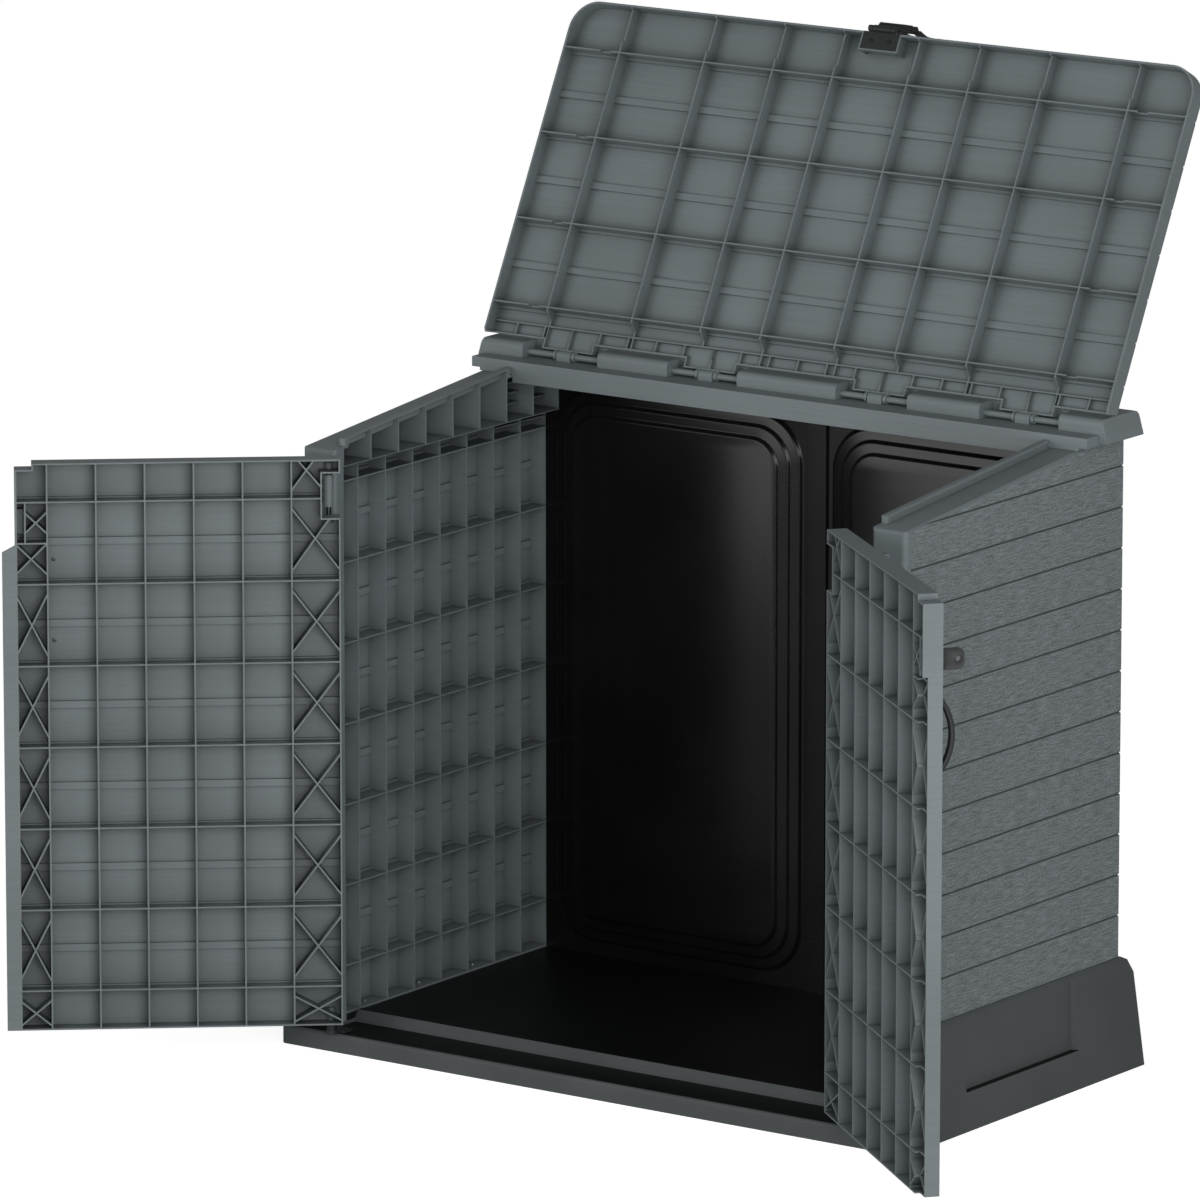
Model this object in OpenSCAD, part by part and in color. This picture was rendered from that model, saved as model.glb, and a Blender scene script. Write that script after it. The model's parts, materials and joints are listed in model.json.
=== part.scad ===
// Horizontal storage shed: a moulded garden shed with a lifting lid and two front doors.
// Frame: +X to the right, +Y to the back, +Z up, origin at the middle of the underside.
// It is drawn as it stands open: lid leaning back on its stop, both doors swung out.

/* [Base] */
// Width of the base over its skirt
base_w = 1455; // [1380:5:1560]
// Depth of the base over its skirt
base_d = 828; // [800:4:880]
// Height of the rim that the walls stand inside
rim_h = 219; // [190:1:230]
// Top of the floor
floor_z = 45; // [42:1:55]
// Top of the ledge in front of the doors
ledge_z = 38; // [34:1:40]
// Top of the threshold rib
threshold_z = 60; // [56:1:62]
// Rounding of the base's front top edge
base_front_r = 8; // [4:1:10]
// Rounding of the base's upright front corners
base_corner_r = 15; // [8:1:18]
// Depth of the window in a side skirt, down from the rim
window_drop = 144; // [130:1:150]
// Distance from the corner post back to that window
window_front = 174; // [150:1:200]
// Distance from the wall's rear edge forward to that window
window_rear = 170; // [150:1:200]
// Slant of the window's front end
window_slant = 10; // [0:1:12]
// Thickness of the floor and skirt skins
base_skin = 5; // [4:0.5:6]
// Lean of the side skirts from bottom to shoulder
skirt_lean = 13; // [10:1:15]
// Lean of the rear skirt from bottom to shoulder
rear_lean = 22; // [16:1:26]

/* [Walls] */
// Distance from the skirt's foot in to the wall's outer face
wall_inset = 31; // [28:1:36]
// Distance from the base's front edge back to the corner post
porch = 41; // [39:1:46]
// Distance from the base's rear edge in to the wall's rear edge
rear_inset = 49.4; // [44:0.2:56]
// Height of the wall's front top corner
post_top_z = 1174; // [1150:1:1180]
// Height of the wall's level rear top
wall_top_z = 1232; // [1222:1:1240]
// Thickness of the ribbed wall
wall_t = 46; // [40:1:52]
// Width of the corner post and depth of the top band
post_w = 78; // [74:1:84]
// Depth of the corner post
post_d = 28; // [26:1:40]
// Underside of the deeper band along the top of the wall
band_z = 1138; // [1125:1:1145]
// Thickness of the moulded outer skins
skin = 4; // [3:0.5:5]
// Thickness of the moulded ribs
rib = 3; // [2:0.5:4]
// Number of rib columns in a side wall
wall_cols = 8; // [7:1:9]
// Height of the bead along the sloping top of the wall
bead_h = 16; // [12:1:20]
// Width of that bead
bead_w = 16; // [12:1:20]
// Rounding of the post's outer corner
post_outer_r = 12; // [8:1:14]
// Rounding of the post's inner corner
post_inner_r = 10; // [8:1:12]
// Rounding of the post's front top corner
post_top_r = 7; // [3:1:9]

/* [Planks] */
// Pitch of the plank grooves
plank = 79.8; // [76:0.2:82]
// Height of the lowest groove on the side wall
groove_z = 300.6; // [290:0.2:310]
// Width of a plank groove
groove_w = 5; // [4:0.5:9]
// Depth of a plank groove
groove_depth = 3.5; // [1.5:0.5:4]
// Height that the grooves' backing stands up inside
backing = 4.5; // [3:0.5:5]

/* [Doors] */
// Height of the door's top edge
door_top_z = 1174; // [1160:1:1174]
// Height of the door's bottom edge
door_bottom_z = 63.4; // [63:0.2:70]
// Thickness of the door
door_t = 38; // [34:1:42]
// Gap between the doors where they meet
door_gap = 3; // [2:0.5:5]
// Distance from the hinge axis out to the door's hinge edge
hinge_edge = 21; // [19:0.5:24]
// Distance from the hinge axis in to the door's inner face
hinge_in = 37.5; // [36:0.5:40]
// Distance from the base's front edge out to the hinge axis
hinge_out = 3.5; // [2:0.5:5]
// Sideways distance from the post's inner side in to the hinge axis
hinge_side = 18; // [16:0.5:19]
// How far the doors stand open as drawn
door_open_deg = 140.4; // [120:0.2:150]
// Number of full rib columns in a door
door_cols = 6; // [5:1:7]
// Pitch of the door's rib columns
door_col_pitch = 93.1; // [88:0.1:95]
// Width of the lip on the left door that laps behind the right door
lip_w = 25; // [18:1:28]
// Thickness of the lip
lip_t = 6; // [4:0.5:7]
// Depth of the rebate that the lip lies in
rebate_depth = 10; // [9:0.5:12]
// Top of the lip at the door's edge
lip_top_z = 1016; // [1000:1:1017]
// Width of the lowered corner at the top of the free edge
step_w = 33; // [26:1:40]
// Drop of that corner
step_drop = 12; // [6:1:14]
// Width of the hinge notch along the door
notch_w = 35; // [34:1:40]
// Height of the hinge notch
notch_h = 87; // [80:1:92]
// Distance from the door's top down to the notch
notch_drop = 27; // [18:1:30]

/* [Lid] */
// Width of the lid
lid_w = 1454; // [1440:2:1460]
// Length of the lid from its rear edge to its front edge
lid_l = 695; // [690:1:705]
// Depth of the lid from its rim to its top
lid_t = 35; // [33:1:37]
// Height of the lid's hinge axis above the wall's top
lid_axis_up = 35.6; // [33:0.2:38]
// Distance from the hinge axis along the lid to its rear edge
lid_axis_back = 21.9; // [20:0.1:26]
// Distance from the hinge axis square to the rim plane
lid_axis_in = 22.6; // [20:0.1:24]
// Radius of the lid's front corners
lid_corner_r = 60; // [40:1:80]
// Lean of the open lid, measured from lying flat towards the front
lid_open_deg = 117; // [100:0.5:120]

/* [Rear beam and hinge cover] */
// Depth of the beam from its face to the walls' rear edge
beam_d = 159.6; // [150:0.2:166]
// Height of the beam above the walls' top
beam_up = 26; // [24:0.5:27]
// Depth of the beam's face below the walls' top
beam_down = 16; // [12:1:20]
// Distance from the hinge axis to the hinge cover's front and top
cover_r = 19.9; // [18:0.1:20.5]
// Rounding of the hinge cover's top edges
cover_round = 12; // [6:1:14]
// Radius of the lid's hinge pins
pin_r = 6; // [4:0.5:6]
// Running gap between a pin and its eye
pin_gap = 0.08; // [0.05:0.01:0.1]

/* [Latch and hasps] */
// Width of the latch plate
latch_plate_w = 84; // [70:1:90]
// Height of the latch plate
latch_plate_h = 33; // [28:1:36]
// Width of the latch barrel and strap
latch_w = 62; // [54:1:68]
// Radius of the latch barrel
latch_r = 7; // [6:0.5:8]
// Length of the latch strap
strap_l = 172; // [165:1:190]
// Thickness of the latch strap
strap_t = 5; // [4:0.5:6]
// Lean of the flipped-back strap from the lid's outward direction
strap_lean = 12; // [4:0.5:14]
// Slope of the closed lid towards the front
lid_closed_deg = 5.4; // [5:0.1:6]
// Height of the hasps above the ground
hasp_z = 1059; // [1050:1:1070]
// Reach of a hasp from the door's face
hasp_out = 40.5; // [38:0.5:46]
// Height of a hasp
hasp_h = 40; // [36:1:44]
// Rounding of a hasp's outer corners
hasp_corner_r = 14; // [8:1:17]
// Radius of the padlock hole
padlock_r = 5; // [4:0.5:6]
// Distance of the padlock hole from the door's face
padlock_out = 29; // [27:0.5:30]

/* [Handles] */
// Length of a door handle
handle_l = 180; // [150:1:186]
// Reach of a door handle from the door's face
handle_out = 44; // [36:1:48]
// Distance from the door's top down to the handle's middle
handle_drop = 271; // [255:1:290]
// Distance from the door's free edge back to the handle
handle_back = 74; // [66:1:80]

/* [Hidden] */
$fn = 48;
big = 3000;
eps = 0.5;
seat = 0.3;

// Planes of the base and walls
half_w = base_w / 2;
front_y = -base_d / 2;
rear_y = base_d / 2;
wall_x = half_w - wall_inset;
wall_in_x = wall_x - wall_t;
post_in_x = wall_x - post_w;
post_y = front_y + porch;
post_back_y = post_y + post_d;
wall_rear_y = rear_y - rear_inset;
beam_y = wall_rear_y - beam_d;
slope_end_y = beam_y + 7;
slope_deg = atan((wall_top_z - post_top_z) / (slope_end_y - post_y));
function cap_z(y) = min(wall_top_z, post_top_z + (y - post_y) * tan(slope_deg));
shoulder_z = rim_h - 32;
rim_gap = 0.5;
rim_in_x = wall_x + rim_gap;
rim_in_y = wall_rear_y + rim_gap;

// Door hinge axis, the same on both sides
hinge_x = post_in_x - hinge_side;
hinge_y = front_y - hinge_out;
door_w = hinge_x + hinge_edge - door_gap / 2;
door_free = door_w - hinge_edge;
door_out = hinge_in - door_t;
notch_top_z = door_top_z - notch_drop;
notch_bottom_z = notch_top_z - notch_h;
pivot_r = 5;
barrel_r = 9.5;
barrel_h = 62;
ear_r = 10;

// Lid hinge axis and the planes that follow it
lid_axis_z = wall_top_z + lid_axis_up;
lid_axis_y = beam_y + 62.4;
beam_top_z = wall_top_z + beam_up;
lid_rot = 180 - lid_open_deg;
cover_top_z = lid_axis_z + cover_r;
cover_rear_y = wall_rear_y + 10.4;
cover_side_x = wall_x + 38.5;
cover_top_side_x = wall_x + 25.5;
beam_end_x = wall_x + 19.5;
cover_skirt_z = wall_top_z + 10;
pin_zone_in = 115;
pin_zone_mid = 280;
pin_zone_next = 445;
pin_zone_out = 625;
eye_r = pin_r + 3.2;
arm_w = 6;
clip_w = 32;
tab_w = 120;
tab_drop = 12;
slot_rear_y = lid_axis_y + 26;

lid_ribs_x = [86.5, 227, 390, 592];
lid_ribs_t = [66, 239.5, 418.5, 596];
low_rib_t = 33;
lid_rear_slant = 10;
shallow_rib = 9;
small_cell = 66.7;

grey = [0.40, 0.44, 0.46];
black = [0.10, 0.11, 0.11];
steel = [0.70, 0.71, 0.72];

// Shape helpers

// A box from its low corner to its high corner
module box(lo, hi) {
    translate(lo) cube([hi[0] - lo[0], hi[1] - lo[1], hi[2] - lo[2]]);
}

// A profile drawn in Y and Z, run along X from x0 to x1
module along_x(x0, x1, points) {
    translate([x0, 0, 0]) rotate([90, 0, 90]) linear_extrude(height = x1 - x0) polygon(points);
}

// A profile drawn in X and Z, run along Y from y0 to y1
module along_y(y0, y1, points) {
    translate([0, y1, 0]) rotate([90, 0, 0]) linear_extrude(height = y1 - y0) polygon(points);
}

// A round bar along X
module bar_x(x0, x1, y, z, r) {
    translate([x0, y, z]) rotate([0, 90, 0]) cylinder(h = x1 - x0, r = r);
}

// A round bar along Y
module bar_y(x, y0, y1, z, r) {
    translate([x, y1, z]) rotate([90, 0, 0]) cylinder(h = y1 - y0, r = r);
}

// A round bar along Z
module bar_z(x, y, z0, z1, r) {
    translate([x, y, z0]) cylinder(h = z1 - z0, r = r);
}

// What is left of a square upright corner when it is rounded; sx and sy point into the corner
module corner_cut(x, y, z0, z1, r, sx, sy) {
    translate([x, y, z0]) difference() {
        box([min(0, -sx * r), min(0, -sy * r), 0],
            [max(0, -sx * r), max(0, -sy * r), z1 - z0]);
        translate([-sx * r, -sy * r, -1]) cylinder(h = z1 - z0 + 2, r = r);
    }
}

// An upright plate with round corners, facing Y
module round_plate(x0, x1, z0, z1, y0, y1, r) {
    box([x0 + r, y0, z0], [x1 - r, y1, z1]);
    box([x0, y0, z0 + r], [x1, y1, z1 - r]);
    for (x = [x0 + r, x1 - r], z = [z0 + r, z1 - r]) bar_y(x, y0, y1, z, r);
}

// A countersunk-look screw along Z with its head on top at z
module screw_z(x, y, z, length) {
    bar_z(x, y, z, z + 2.4, 4.2);
    bar_z(x, y, z - length, z + eps, 2);
}

// Base

module base_outline() {
    intersection() {
        along_y(front_y - 1, rear_y + 1, [
            [-half_w, 0], [half_w, 0], [half_w - skirt_lean, shoulder_z],
            [half_w - skirt_lean - 9, rim_h - 7], [rim_in_x + 2, rim_h],
            [-rim_in_x - 2, rim_h], [-half_w + skirt_lean + 9, rim_h - 7],
            [-half_w + skirt_lean, shoulder_z]
        ]);
        along_x(-half_w - 1, half_w + 1, [
            [front_y, 0], [rear_y, 0], [rear_y - rear_lean, shoulder_z],
            [rear_y - rear_lean - 9, rim_h - 7], [rim_in_y + 4, rim_h],
            [post_y - 3, rim_h], for (a = [90 : 15 : 180]) [
                front_y + base_front_r * (1 + cos(a)), ledge_z - base_front_r * (1 - sin(a))
            ]
        ]);
    }
}

// The window pressed into a side skirt, open at the top, with drafted ends
window_low_z = rim_h - window_drop;
window_y0 = post_y + window_front;
window_y1 = wall_rear_y - window_rear;
window_reach = window_drop * tan(window_slant);
window_draft = 10;

// One end of the window and all the room beyond it, with the end at Y = 0
module window_end(reach) {
    back_x = rim_in_x + 7;
    translate([0, 0, -reach / 2]) linear_extrude(height = window_drop + reach) polygon([
        [back_x - 1, window_draft], [half_w, 0], [half_w + 9, 0], [half_w + 9, reach],
        [back_x - 1, reach]
    ]);
}

module side_window() {
    back_x = rim_in_x + 7;
    reach = window_y1 - window_y0 + window_reach + 5;
    intersection() {
        along_y(window_y0 - window_reach - 5, window_y1 + 1, [
            [back_x + 3, window_low_z], [half_w + 9, window_low_z], [half_w + 9, rim_h + 5],
            [back_x, rim_h + 5]
        ]);
        translate([0, window_y0, window_low_z]) rotate([window_slant, 0, 0]) window_end(reach + 30);
        translate([0, window_y1, window_low_z]) mirror([0, 1, 0]) window_end(reach);
    }
}

// Hollow of a side skirt from below, low under the window and high beside it
module base_side_hollow() {
    for (part = [
            [post_y, window_y0 - window_reach - base_skin, shoulder_z * 0.75],
            [post_y, rim_in_y, window_low_z - base_skin],
            [window_y1 + base_skin, rim_in_y, shoulder_z * 0.75]
        ])
        along_y(part[0], part[1], [
            [rim_in_x + base_skin, -1], [half_w - base_skin, -1],
            [half_w - base_skin - skirt_lean * part[2] / shoulder_z, part[2]],
            [rim_in_x + base_skin, part[2]]
        ]);
}

module floor_tray() color(black) {
    cell_cols = 12;
    cell_rows = 7;
    cell_x = (2 * rim_in_x) / cell_cols;
    cell_y0 = front_y + base_skin;
    threshold_y = front_y + 107;
    cell_y = (rim_in_y - threshold_y) / cell_rows;
    under_rib = 4;
    difference() {
        base_outline();
        // Inside of the rim, above the floor and above the front ledge
        box([-rim_in_x, threshold_y, floor_z], [rim_in_x, rim_in_y, rim_h + 1]);
        box([-rim_in_x, front_y - 1, ledge_z], [rim_in_x, threshold_y + eps, rim_h + 1]);
        // Hollow underside, with ribs left between the cells
        for (i = [0 : cell_cols - 1]) {
            x0 = -rim_in_x + i * cell_x + under_rib / 2;
            x1 = x0 + cell_x - under_rib;
            box([x0, cell_y0, -1], [x1, threshold_y - under_rib / 2, ledge_z - base_skin]);
            for (j = [0 : cell_rows - 1])
                box([x0, threshold_y + j * cell_y + under_rib / 2, -1],
                    [x1, threshold_y + (j + 1) * cell_y - under_rib / 2, floor_z - base_skin]);
        }
        for (side = [0, 1]) mirror([side, 0, 0]) {
            base_side_hollow();
            side_window();
            corner_cut(half_w, front_y, -1, rim_h, base_corner_r, 1, -1);
        }
        along_x(-rim_in_x, rim_in_x, [
            [rim_in_y + base_skin, -1], [rear_y - base_skin, -1],
            [rear_y - rear_lean * 0.75 - base_skin, shoulder_z * 0.75],
            [rim_in_y + base_skin, shoulder_z * 0.75]
        ]);
        wall_screw_places() bar_z(0, 0, -2, floor_z + 2, 2.1);
        for (side = [0, 1]) mirror([side, 0, 0]) lower_plate_screw_places()
            bar_z(0, 0, -2, ledge_z + 2, 2.1);
    }
    // Pads under the corner posts, level with the floor
    for (side = [0, 1]) mirror([side, 0, 0])
        box([post_in_x, post_y, ledge_z - eps], [rim_in_x + eps, threshold_y + eps, floor_z]);
    // Threshold rib across the doorway, between the posts
    along_x(-post_in_x + seat, post_in_x - seat, [
        [threshold_y - 11, ledge_z - eps], [threshold_y + 21, ledge_z - eps],
        [threshold_y + 21, floor_z], [threshold_y + 15, threshold_z],
        [threshold_y, threshold_z], [threshold_y - 11, threshold_z - 14]
    ]);
    // Solid middle foot under the floor
    box([-40, -40, 0], [40, 40, floor_z - 1]);
}

// Walls

wall_foot_z = floor_z;
wall_col_pitch = (wall_rear_y - post_back_y) / wall_cols;
wall_rows_z = concat(
    [wall_foot_z],
    [for (k = [-2 : 2 : 12]) let (z = groove_z + k * plank) if (z < band_z - 30) z],
    [band_z]
);

module wall_screw_places() {
    for (side = [-1, 1], i = [1, 3, 5])
        translate([side * (wall_x - wall_t / 2), post_back_y + (i + 0.5) * wall_col_pitch, 0])
            children();
}

module beam_screw_places() {
    for (side = [-1, 1], i = [0, 1])
        translate([side * (wall_x - 35), beam_y + 45 + i * 70, 0]) children();
}

// One rib cell of the side wall, from height z0 to z1 or up to the sloping top
module wall_cell(y0, y1, z0, z1) {
    top0 = min(z1, cap_z(y0) - skin);
    top1 = min(z1, cap_z(y1) - skin);
    bends = y0 < slope_end_y - 1 && y1 > slope_end_y + 1 && z1 > cap_z(y0) - skin;
    bend = bends ? [[slope_end_y, wall_top_z - skin]] : [];
    along_x(post_in_x - 1, wall_x - skin, concat([[y0, z0], [y1, z0], [y1, top1]], bend, [[y0, top0]]));
}

module wall_grooves() {
    for (k = [0 : 14]) {
        z = groove_z + k * plank;
        if (z < wall_top_z - 10)
            along_y(post_y + post_outer_r + 3, wall_rear_y + 1, [
                [wall_x - groove_depth, z], [wall_x + 1, z - groove_w * 0.35],
                [wall_x + 1, z + groove_w * 0.75]
            ]);
    }
}

// Raised backing behind the grooves, seen as double lines inside the cells
backing_down = 6.5;
backing_up = 7.5;
module wall_backing() {
    for (k = [-2 : 14]) {
        z = groove_z + k * plank;
        if (z > wall_foot_z + 20 && z < post_top_z - 20)
            box([wall_x - skin - backing, post_y + post_outer_r, z - backing_down],
                [wall_x - skin + eps, wall_rear_y, z + backing_up]);
    }
}

// Bead along the top of the wall with a rounded top and round ends
bead_start = post_y + 29;
module wall_bead() {
    run = (beam_y - seat - bead_start) / cos(slope_deg) - 1;
    end_r = bead_w / 2;
    top_r = bead_w / 4;
    translate([post_in_x, bead_start, cap_z(bead_start)]) rotate([slope_deg, 0, 0]) intersection() {
        union() {
            box([0, 0, -skin / 2], [bead_w, run, bead_h - top_r]);
            box([top_r, 0, 0], [bead_w - top_r, run, bead_h]);
            for (x = [top_r, bead_w - top_r]) bar_y(x, 0, run, bead_h - top_r, top_r);
        }
        union() {
            box([0, end_r, -skin], [bead_w, run - end_r, bead_h + 1]);
            for (y = [end_r, run - end_r]) bar_z(end_r, y, -skin, bead_h + 1, end_r);
        }
    }
}

// The rib cells run up into the bead, which is open towards the inside of the shed
module wall_bead_hollow(y0, y1) {
    front = max(y0, bead_start + bead_w);
    rear = min(y1, beam_y - seat - bead_w);
    if (rear > front + bead_w)
        along_x(post_in_x - 1, post_in_x + bead_w - skin, [
            [front, cap_z(front) - skin - 1], [rear, cap_z(rear) - skin - 1],
            [rear, cap_z(rear) + bead_h - skin], [front, cap_z(front) + bead_h - skin]
        ]);
}

module post_hollow() {
    y0 = post_y + skin;
    y1 = post_back_y - skin;
    difference() {
        along_x(post_in_x + skin, wall_x - skin, [
            [y0, wall_foot_z - 1], [y1, wall_foot_z - 1], [y1, cap_z(y1) - skin],
            [y0, cap_z(y0) - skin]
        ]);
        corner_cut(wall_x - skin, y0, 0, wall_top_z, post_outer_r - skin, 1, -1);
        corner_cut(post_in_x + skin, y0, 0, wall_top_z, post_inner_r - skin, -1, -1);
    }
}

// The edge between the sloping top and the outer face is broken
module wall_edge_break() {
    depth = 5;
    translate([wall_x, post_y, post_top_z]) rotate([slope_deg, 0, 0])
        along_y(-20, (slope_end_y - post_y) / cos(slope_deg) + 20, [
            [-depth, 0.5], [0.5, 0.5], [0.5, -depth]
        ]);
}

module side_wall() {
    difference() {
        union() {
            difference() {
                along_x(post_in_x, wall_x, [
                    [post_y, wall_foot_z], [wall_rear_y, wall_foot_z], [wall_rear_y, wall_top_z],
                    [slope_end_y, wall_top_z], for (k = [0 : 4])
                        let (a = 90 + slope_deg + k * (90 - slope_deg) / 4) [
                            post_y + post_top_r * (1 + cos(a)),
                            post_top_z + post_top_r * (tan(slope_deg) - 1 / cos(slope_deg) + sin(a))
                        ]
                ]);
                // The lower wall is thinner than the post and the top band
                box([post_in_x - 1, post_back_y, wall_foot_z - 1],
                    [wall_in_x, wall_rear_y + 1, band_z]);
                // Rib cells
                for (i = [0 : wall_cols - 1]) {
                    y0 = post_back_y + i * wall_col_pitch + rib / 2;
                    y1 = y0 + wall_col_pitch - rib;
                    for (j = [0 : len(wall_rows_z) - 2])
                        wall_cell(y0, y1, wall_rows_z[j] + (j == 0 ? skin : rib / 2),
                            wall_rows_z[j + 1] - rib / 2);
                    wall_cell(y0, y1, band_z + rib / 2, wall_top_z);
                }
                post_hollow();
            }
            wall_backing();
            wall_bead();
        }
        for (i = [0 : wall_cols - 1])
            wall_bead_hollow(post_back_y + i * wall_col_pitch + rib / 2,
                post_back_y + (i + 1) * wall_col_pitch - rib / 2);
        wall_grooves();
        wall_edge_break();
        corner_cut(wall_x, post_y, 0, wall_top_z, post_outer_r, 1, -1);
        corner_cut(post_in_x, post_y, 0, wall_top_z, post_inner_r, -1, -1);
        for (z = bracket_screw_z()) bar_y(bracket_screw_x(), post_y - 1, post_y + skin + 3, z, 2.1);
        wall_screw_places() bar_z(0, 0, wall_foot_z - 1, wall_foot_z + skin + 1, 2.1);
        beam_screw_places() bar_z(0, 0, wall_top_z - skin - 1, wall_top_z + 1, 2.1);
    }
    // Close ribs in the last two columns, high up where the back panel hooks in
    for (k = [1 : 5]) {
        z = wall_rows_z[len(wall_rows_z) - 2] + k * plank * 0.265;
        if (z < wall_top_z - skin && abs(z - band_z) > 3)
            box([wall_in_x + rib, wall_rear_y - 2 * wall_col_pitch, z],
                [wall_x - skin + eps, wall_rear_y - rib, z + rib * 0.7]);
    }
}

module right_wall() color(grey) side_wall();
module left_wall() color(grey) mirror([1, 0, 0]) side_wall();

module wall_screws() color(steel)
    wall_screw_places() screw_z(0, 0, wall_foot_z + skin, 24);

// Screws that rise through the wall's top skin into the rear beam
module beam_screws() color(steel)
    beam_screw_places() translate([0, 0, wall_top_z - skin]) mirror([0, 0, 1])
        screw_z(0, 0, 0, skin + 14);

// Back

back_t = 4;
back_step = 6;
back_foot_z = floor_z + seat;
back_top_z = wall_top_z - beam_down - seat;
back_in_x = 8;
back_out_x = wall_in_x - seat;
back_inset = 34;
back_terrace = 24;
back_r = 90;

// One pressed terrace of the back panel
module back_field(k, shrink, y0) {
    inset = back_inset + k * back_terrace + shrink;
    round_plate(back_in_x + inset, back_out_x - inset, back_foot_z + inset, back_top_z - inset,
        y0, wall_rear_y - back_t + eps, back_r - k * 18);
}

module back_panel() {
    difference() {
        union() {
            box([back_in_x, wall_rear_y - back_t, back_foot_z], [back_out_x, wall_rear_y, back_top_z]);
            for (k = [0 : 2]) back_field(k, 0, wall_rear_y - back_t - (k + 1) * back_step);
        }
        for (k = [0 : 2]) translate([0, back_t + eps, 0])
            back_field(k, back_t, wall_rear_y - back_t - (k + 1) * back_step);
        // Corner left out for the deeper band along the top of the wall
        box([post_in_x - seat, wall_rear_y - back_t - 1, band_z - seat],
            [back_out_x + 1, wall_rear_y + 1, back_top_z + 1]);
    }
}

module back_panel_right() color(black) back_panel();
module back_panel_left() color(black) mirror([1, 0, 0]) back_panel();

// Upright strip that joins the two back panels
module back_joint_strip() color(black) {
    web = back_in_x - seat;
    box([-web, wall_rear_y - back_t - 6, back_foot_z], [web, wall_rear_y, back_top_z]);
    box([-web - 14, wall_rear_y - back_t - 6, back_foot_z],
        [web + 14, wall_rear_y - back_t - seat, back_top_z]);
}

// Rear beam and hinge cover

module rear_beam() color(grey) {
    low_z = wall_top_z - beam_down;
    difference() {
        union() {
            box([-beam_end_x, beam_y, wall_top_z], [beam_end_x, wall_rear_y, beam_top_z]);
            box([-post_in_x + seat, beam_y, low_z], [post_in_x - seat, wall_rear_y, beam_top_z]);
        }
        // The ends past the walls are shallower
        for (side = [0, 1]) mirror([side, 0, 0])
            box([wall_x + eps, beam_y - 1, wall_top_z - 1],
                [beam_end_x + 1, wall_rear_y + 1, wall_top_z + 6]);
        // Hollow from below, with cross ribs left between the cells
        for (i = [0 : 9]) {
            cell = 2 * (post_in_x - skin) / 10;
            x0 = -post_in_x + skin + i * cell;
            box([x0 + rib / 2, beam_y + skin, low_z - 1],
                [x0 + cell - rib / 2, wall_rear_y - skin, beam_top_z - skin]);
        }
        for (side = [0, 1]) mirror([side, 0, 0])
            box([post_in_x + skin, beam_y + skin, wall_top_z + 14.5],
                [beam_end_x - skin, wall_rear_y - skin, beam_top_z - skin]);
        beam_screw_places() bar_z(0, 0, wall_top_z - 1, wall_top_z + 14.6, 2.1);
    }
}

pin_zones = [
    [-pin_zone_out, -pin_zone_next], [-pin_zone_mid, -pin_zone_in],
    [pin_zone_in, pin_zone_mid], [pin_zone_next, pin_zone_out]
];

// Outline of the hinge cover in Y and Z, round at its two top edges
module cover_outline() {
    y0 = lid_axis_y - cover_r;
    r = cover_round;
    translate([y0, cover_skirt_z])
        square([cover_rear_y - y0, cover_top_z - cover_skirt_z - r]);
    translate([y0 + r, cover_skirt_z])
        square([cover_rear_y - y0 - 2 * r, cover_top_z - cover_skirt_z]);
    for (y = [y0 + r, cover_rear_y - r]) translate([y, cover_top_z - r]) circle(r = r);
}

module hinge_cover() color(grey) {
    grip = 12;
    difference() {
        intersection() {
            translate([-half_w - 50, 0, 0]) rotate([90, 0, 90])
                linear_extrude(height = 2 * half_w + 100) cover_outline();
            along_y(lid_axis_y - 60, cover_rear_y + 1, [
                [-cover_side_x, cover_skirt_z], [cover_side_x, cover_skirt_z],
                [cover_top_side_x, cover_top_z], [-cover_top_side_x, cover_top_z]
            ]);
        }
        // Room for the beam and its ends
        box([-beam_end_x - seat, lid_axis_y - 60, cover_skirt_z - 1],
            [beam_end_x + seat, wall_rear_y + seat, beam_top_z]);
        // Hollow inside, behind the pins
        for (i = [0 : 9]) {
            cell = 2 * (wall_x - skin) / 10;
            x0 = -wall_x + skin + i * cell;
            box([x0 + rib / 2, slot_rear_y + skin, beam_top_z - 1],
                [x0 + cell - rib / 2, wall_rear_y - skin, cover_top_z - skin]);
        }
        // Open pin zones
        for (zone = pin_zones)
            box([zone[0], lid_axis_y - 30, beam_top_z - 1], [zone[1], slot_rear_y, cover_top_z + 1]);
        for (zone = pin_zones)
            bar_x(zone[0] - grip, zone[1] + grip, lid_axis_y, lid_axis_z, pin_r + 0.05);
    }
    // A lug in the middle of each pin
    for (zone = pin_zones) {
        middle = (zone[0] + zone[1]) / 2;
        x0 = middle - clip_w / 2;
        x1 = middle + clip_w / 2;
        difference() {
            union() {
                bar_x(x0, x1, lid_axis_y, lid_axis_z, eye_r + 0.2);
                box([x0, lid_axis_y - eye_r - 0.2, beam_top_z], [x1, lid_axis_y, lid_axis_z]);
                box([x0, lid_axis_y - 1, beam_top_z], [x1, slot_rear_y + 1, lid_axis_z - 1]);
            }
            bar_x(x0 - 1, x1 + 1, lid_axis_y, lid_axis_z, pin_r + 0.05);
        }
    }
}

module lid_hinge_pins() color(grey)
    for (zone = pin_zones) bar_x(zone[0] - 11, zone[1] + 11, lid_axis_y, lid_axis_z, pin_r);

// Door hinges on the shed's side

bracket_in = 18;
function bracket_screw_x() = post_in_x + bracket_in + 12;
function bracket_screw_z() = [notch_bottom_z + 20, notch_bottom_z + 52];

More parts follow.
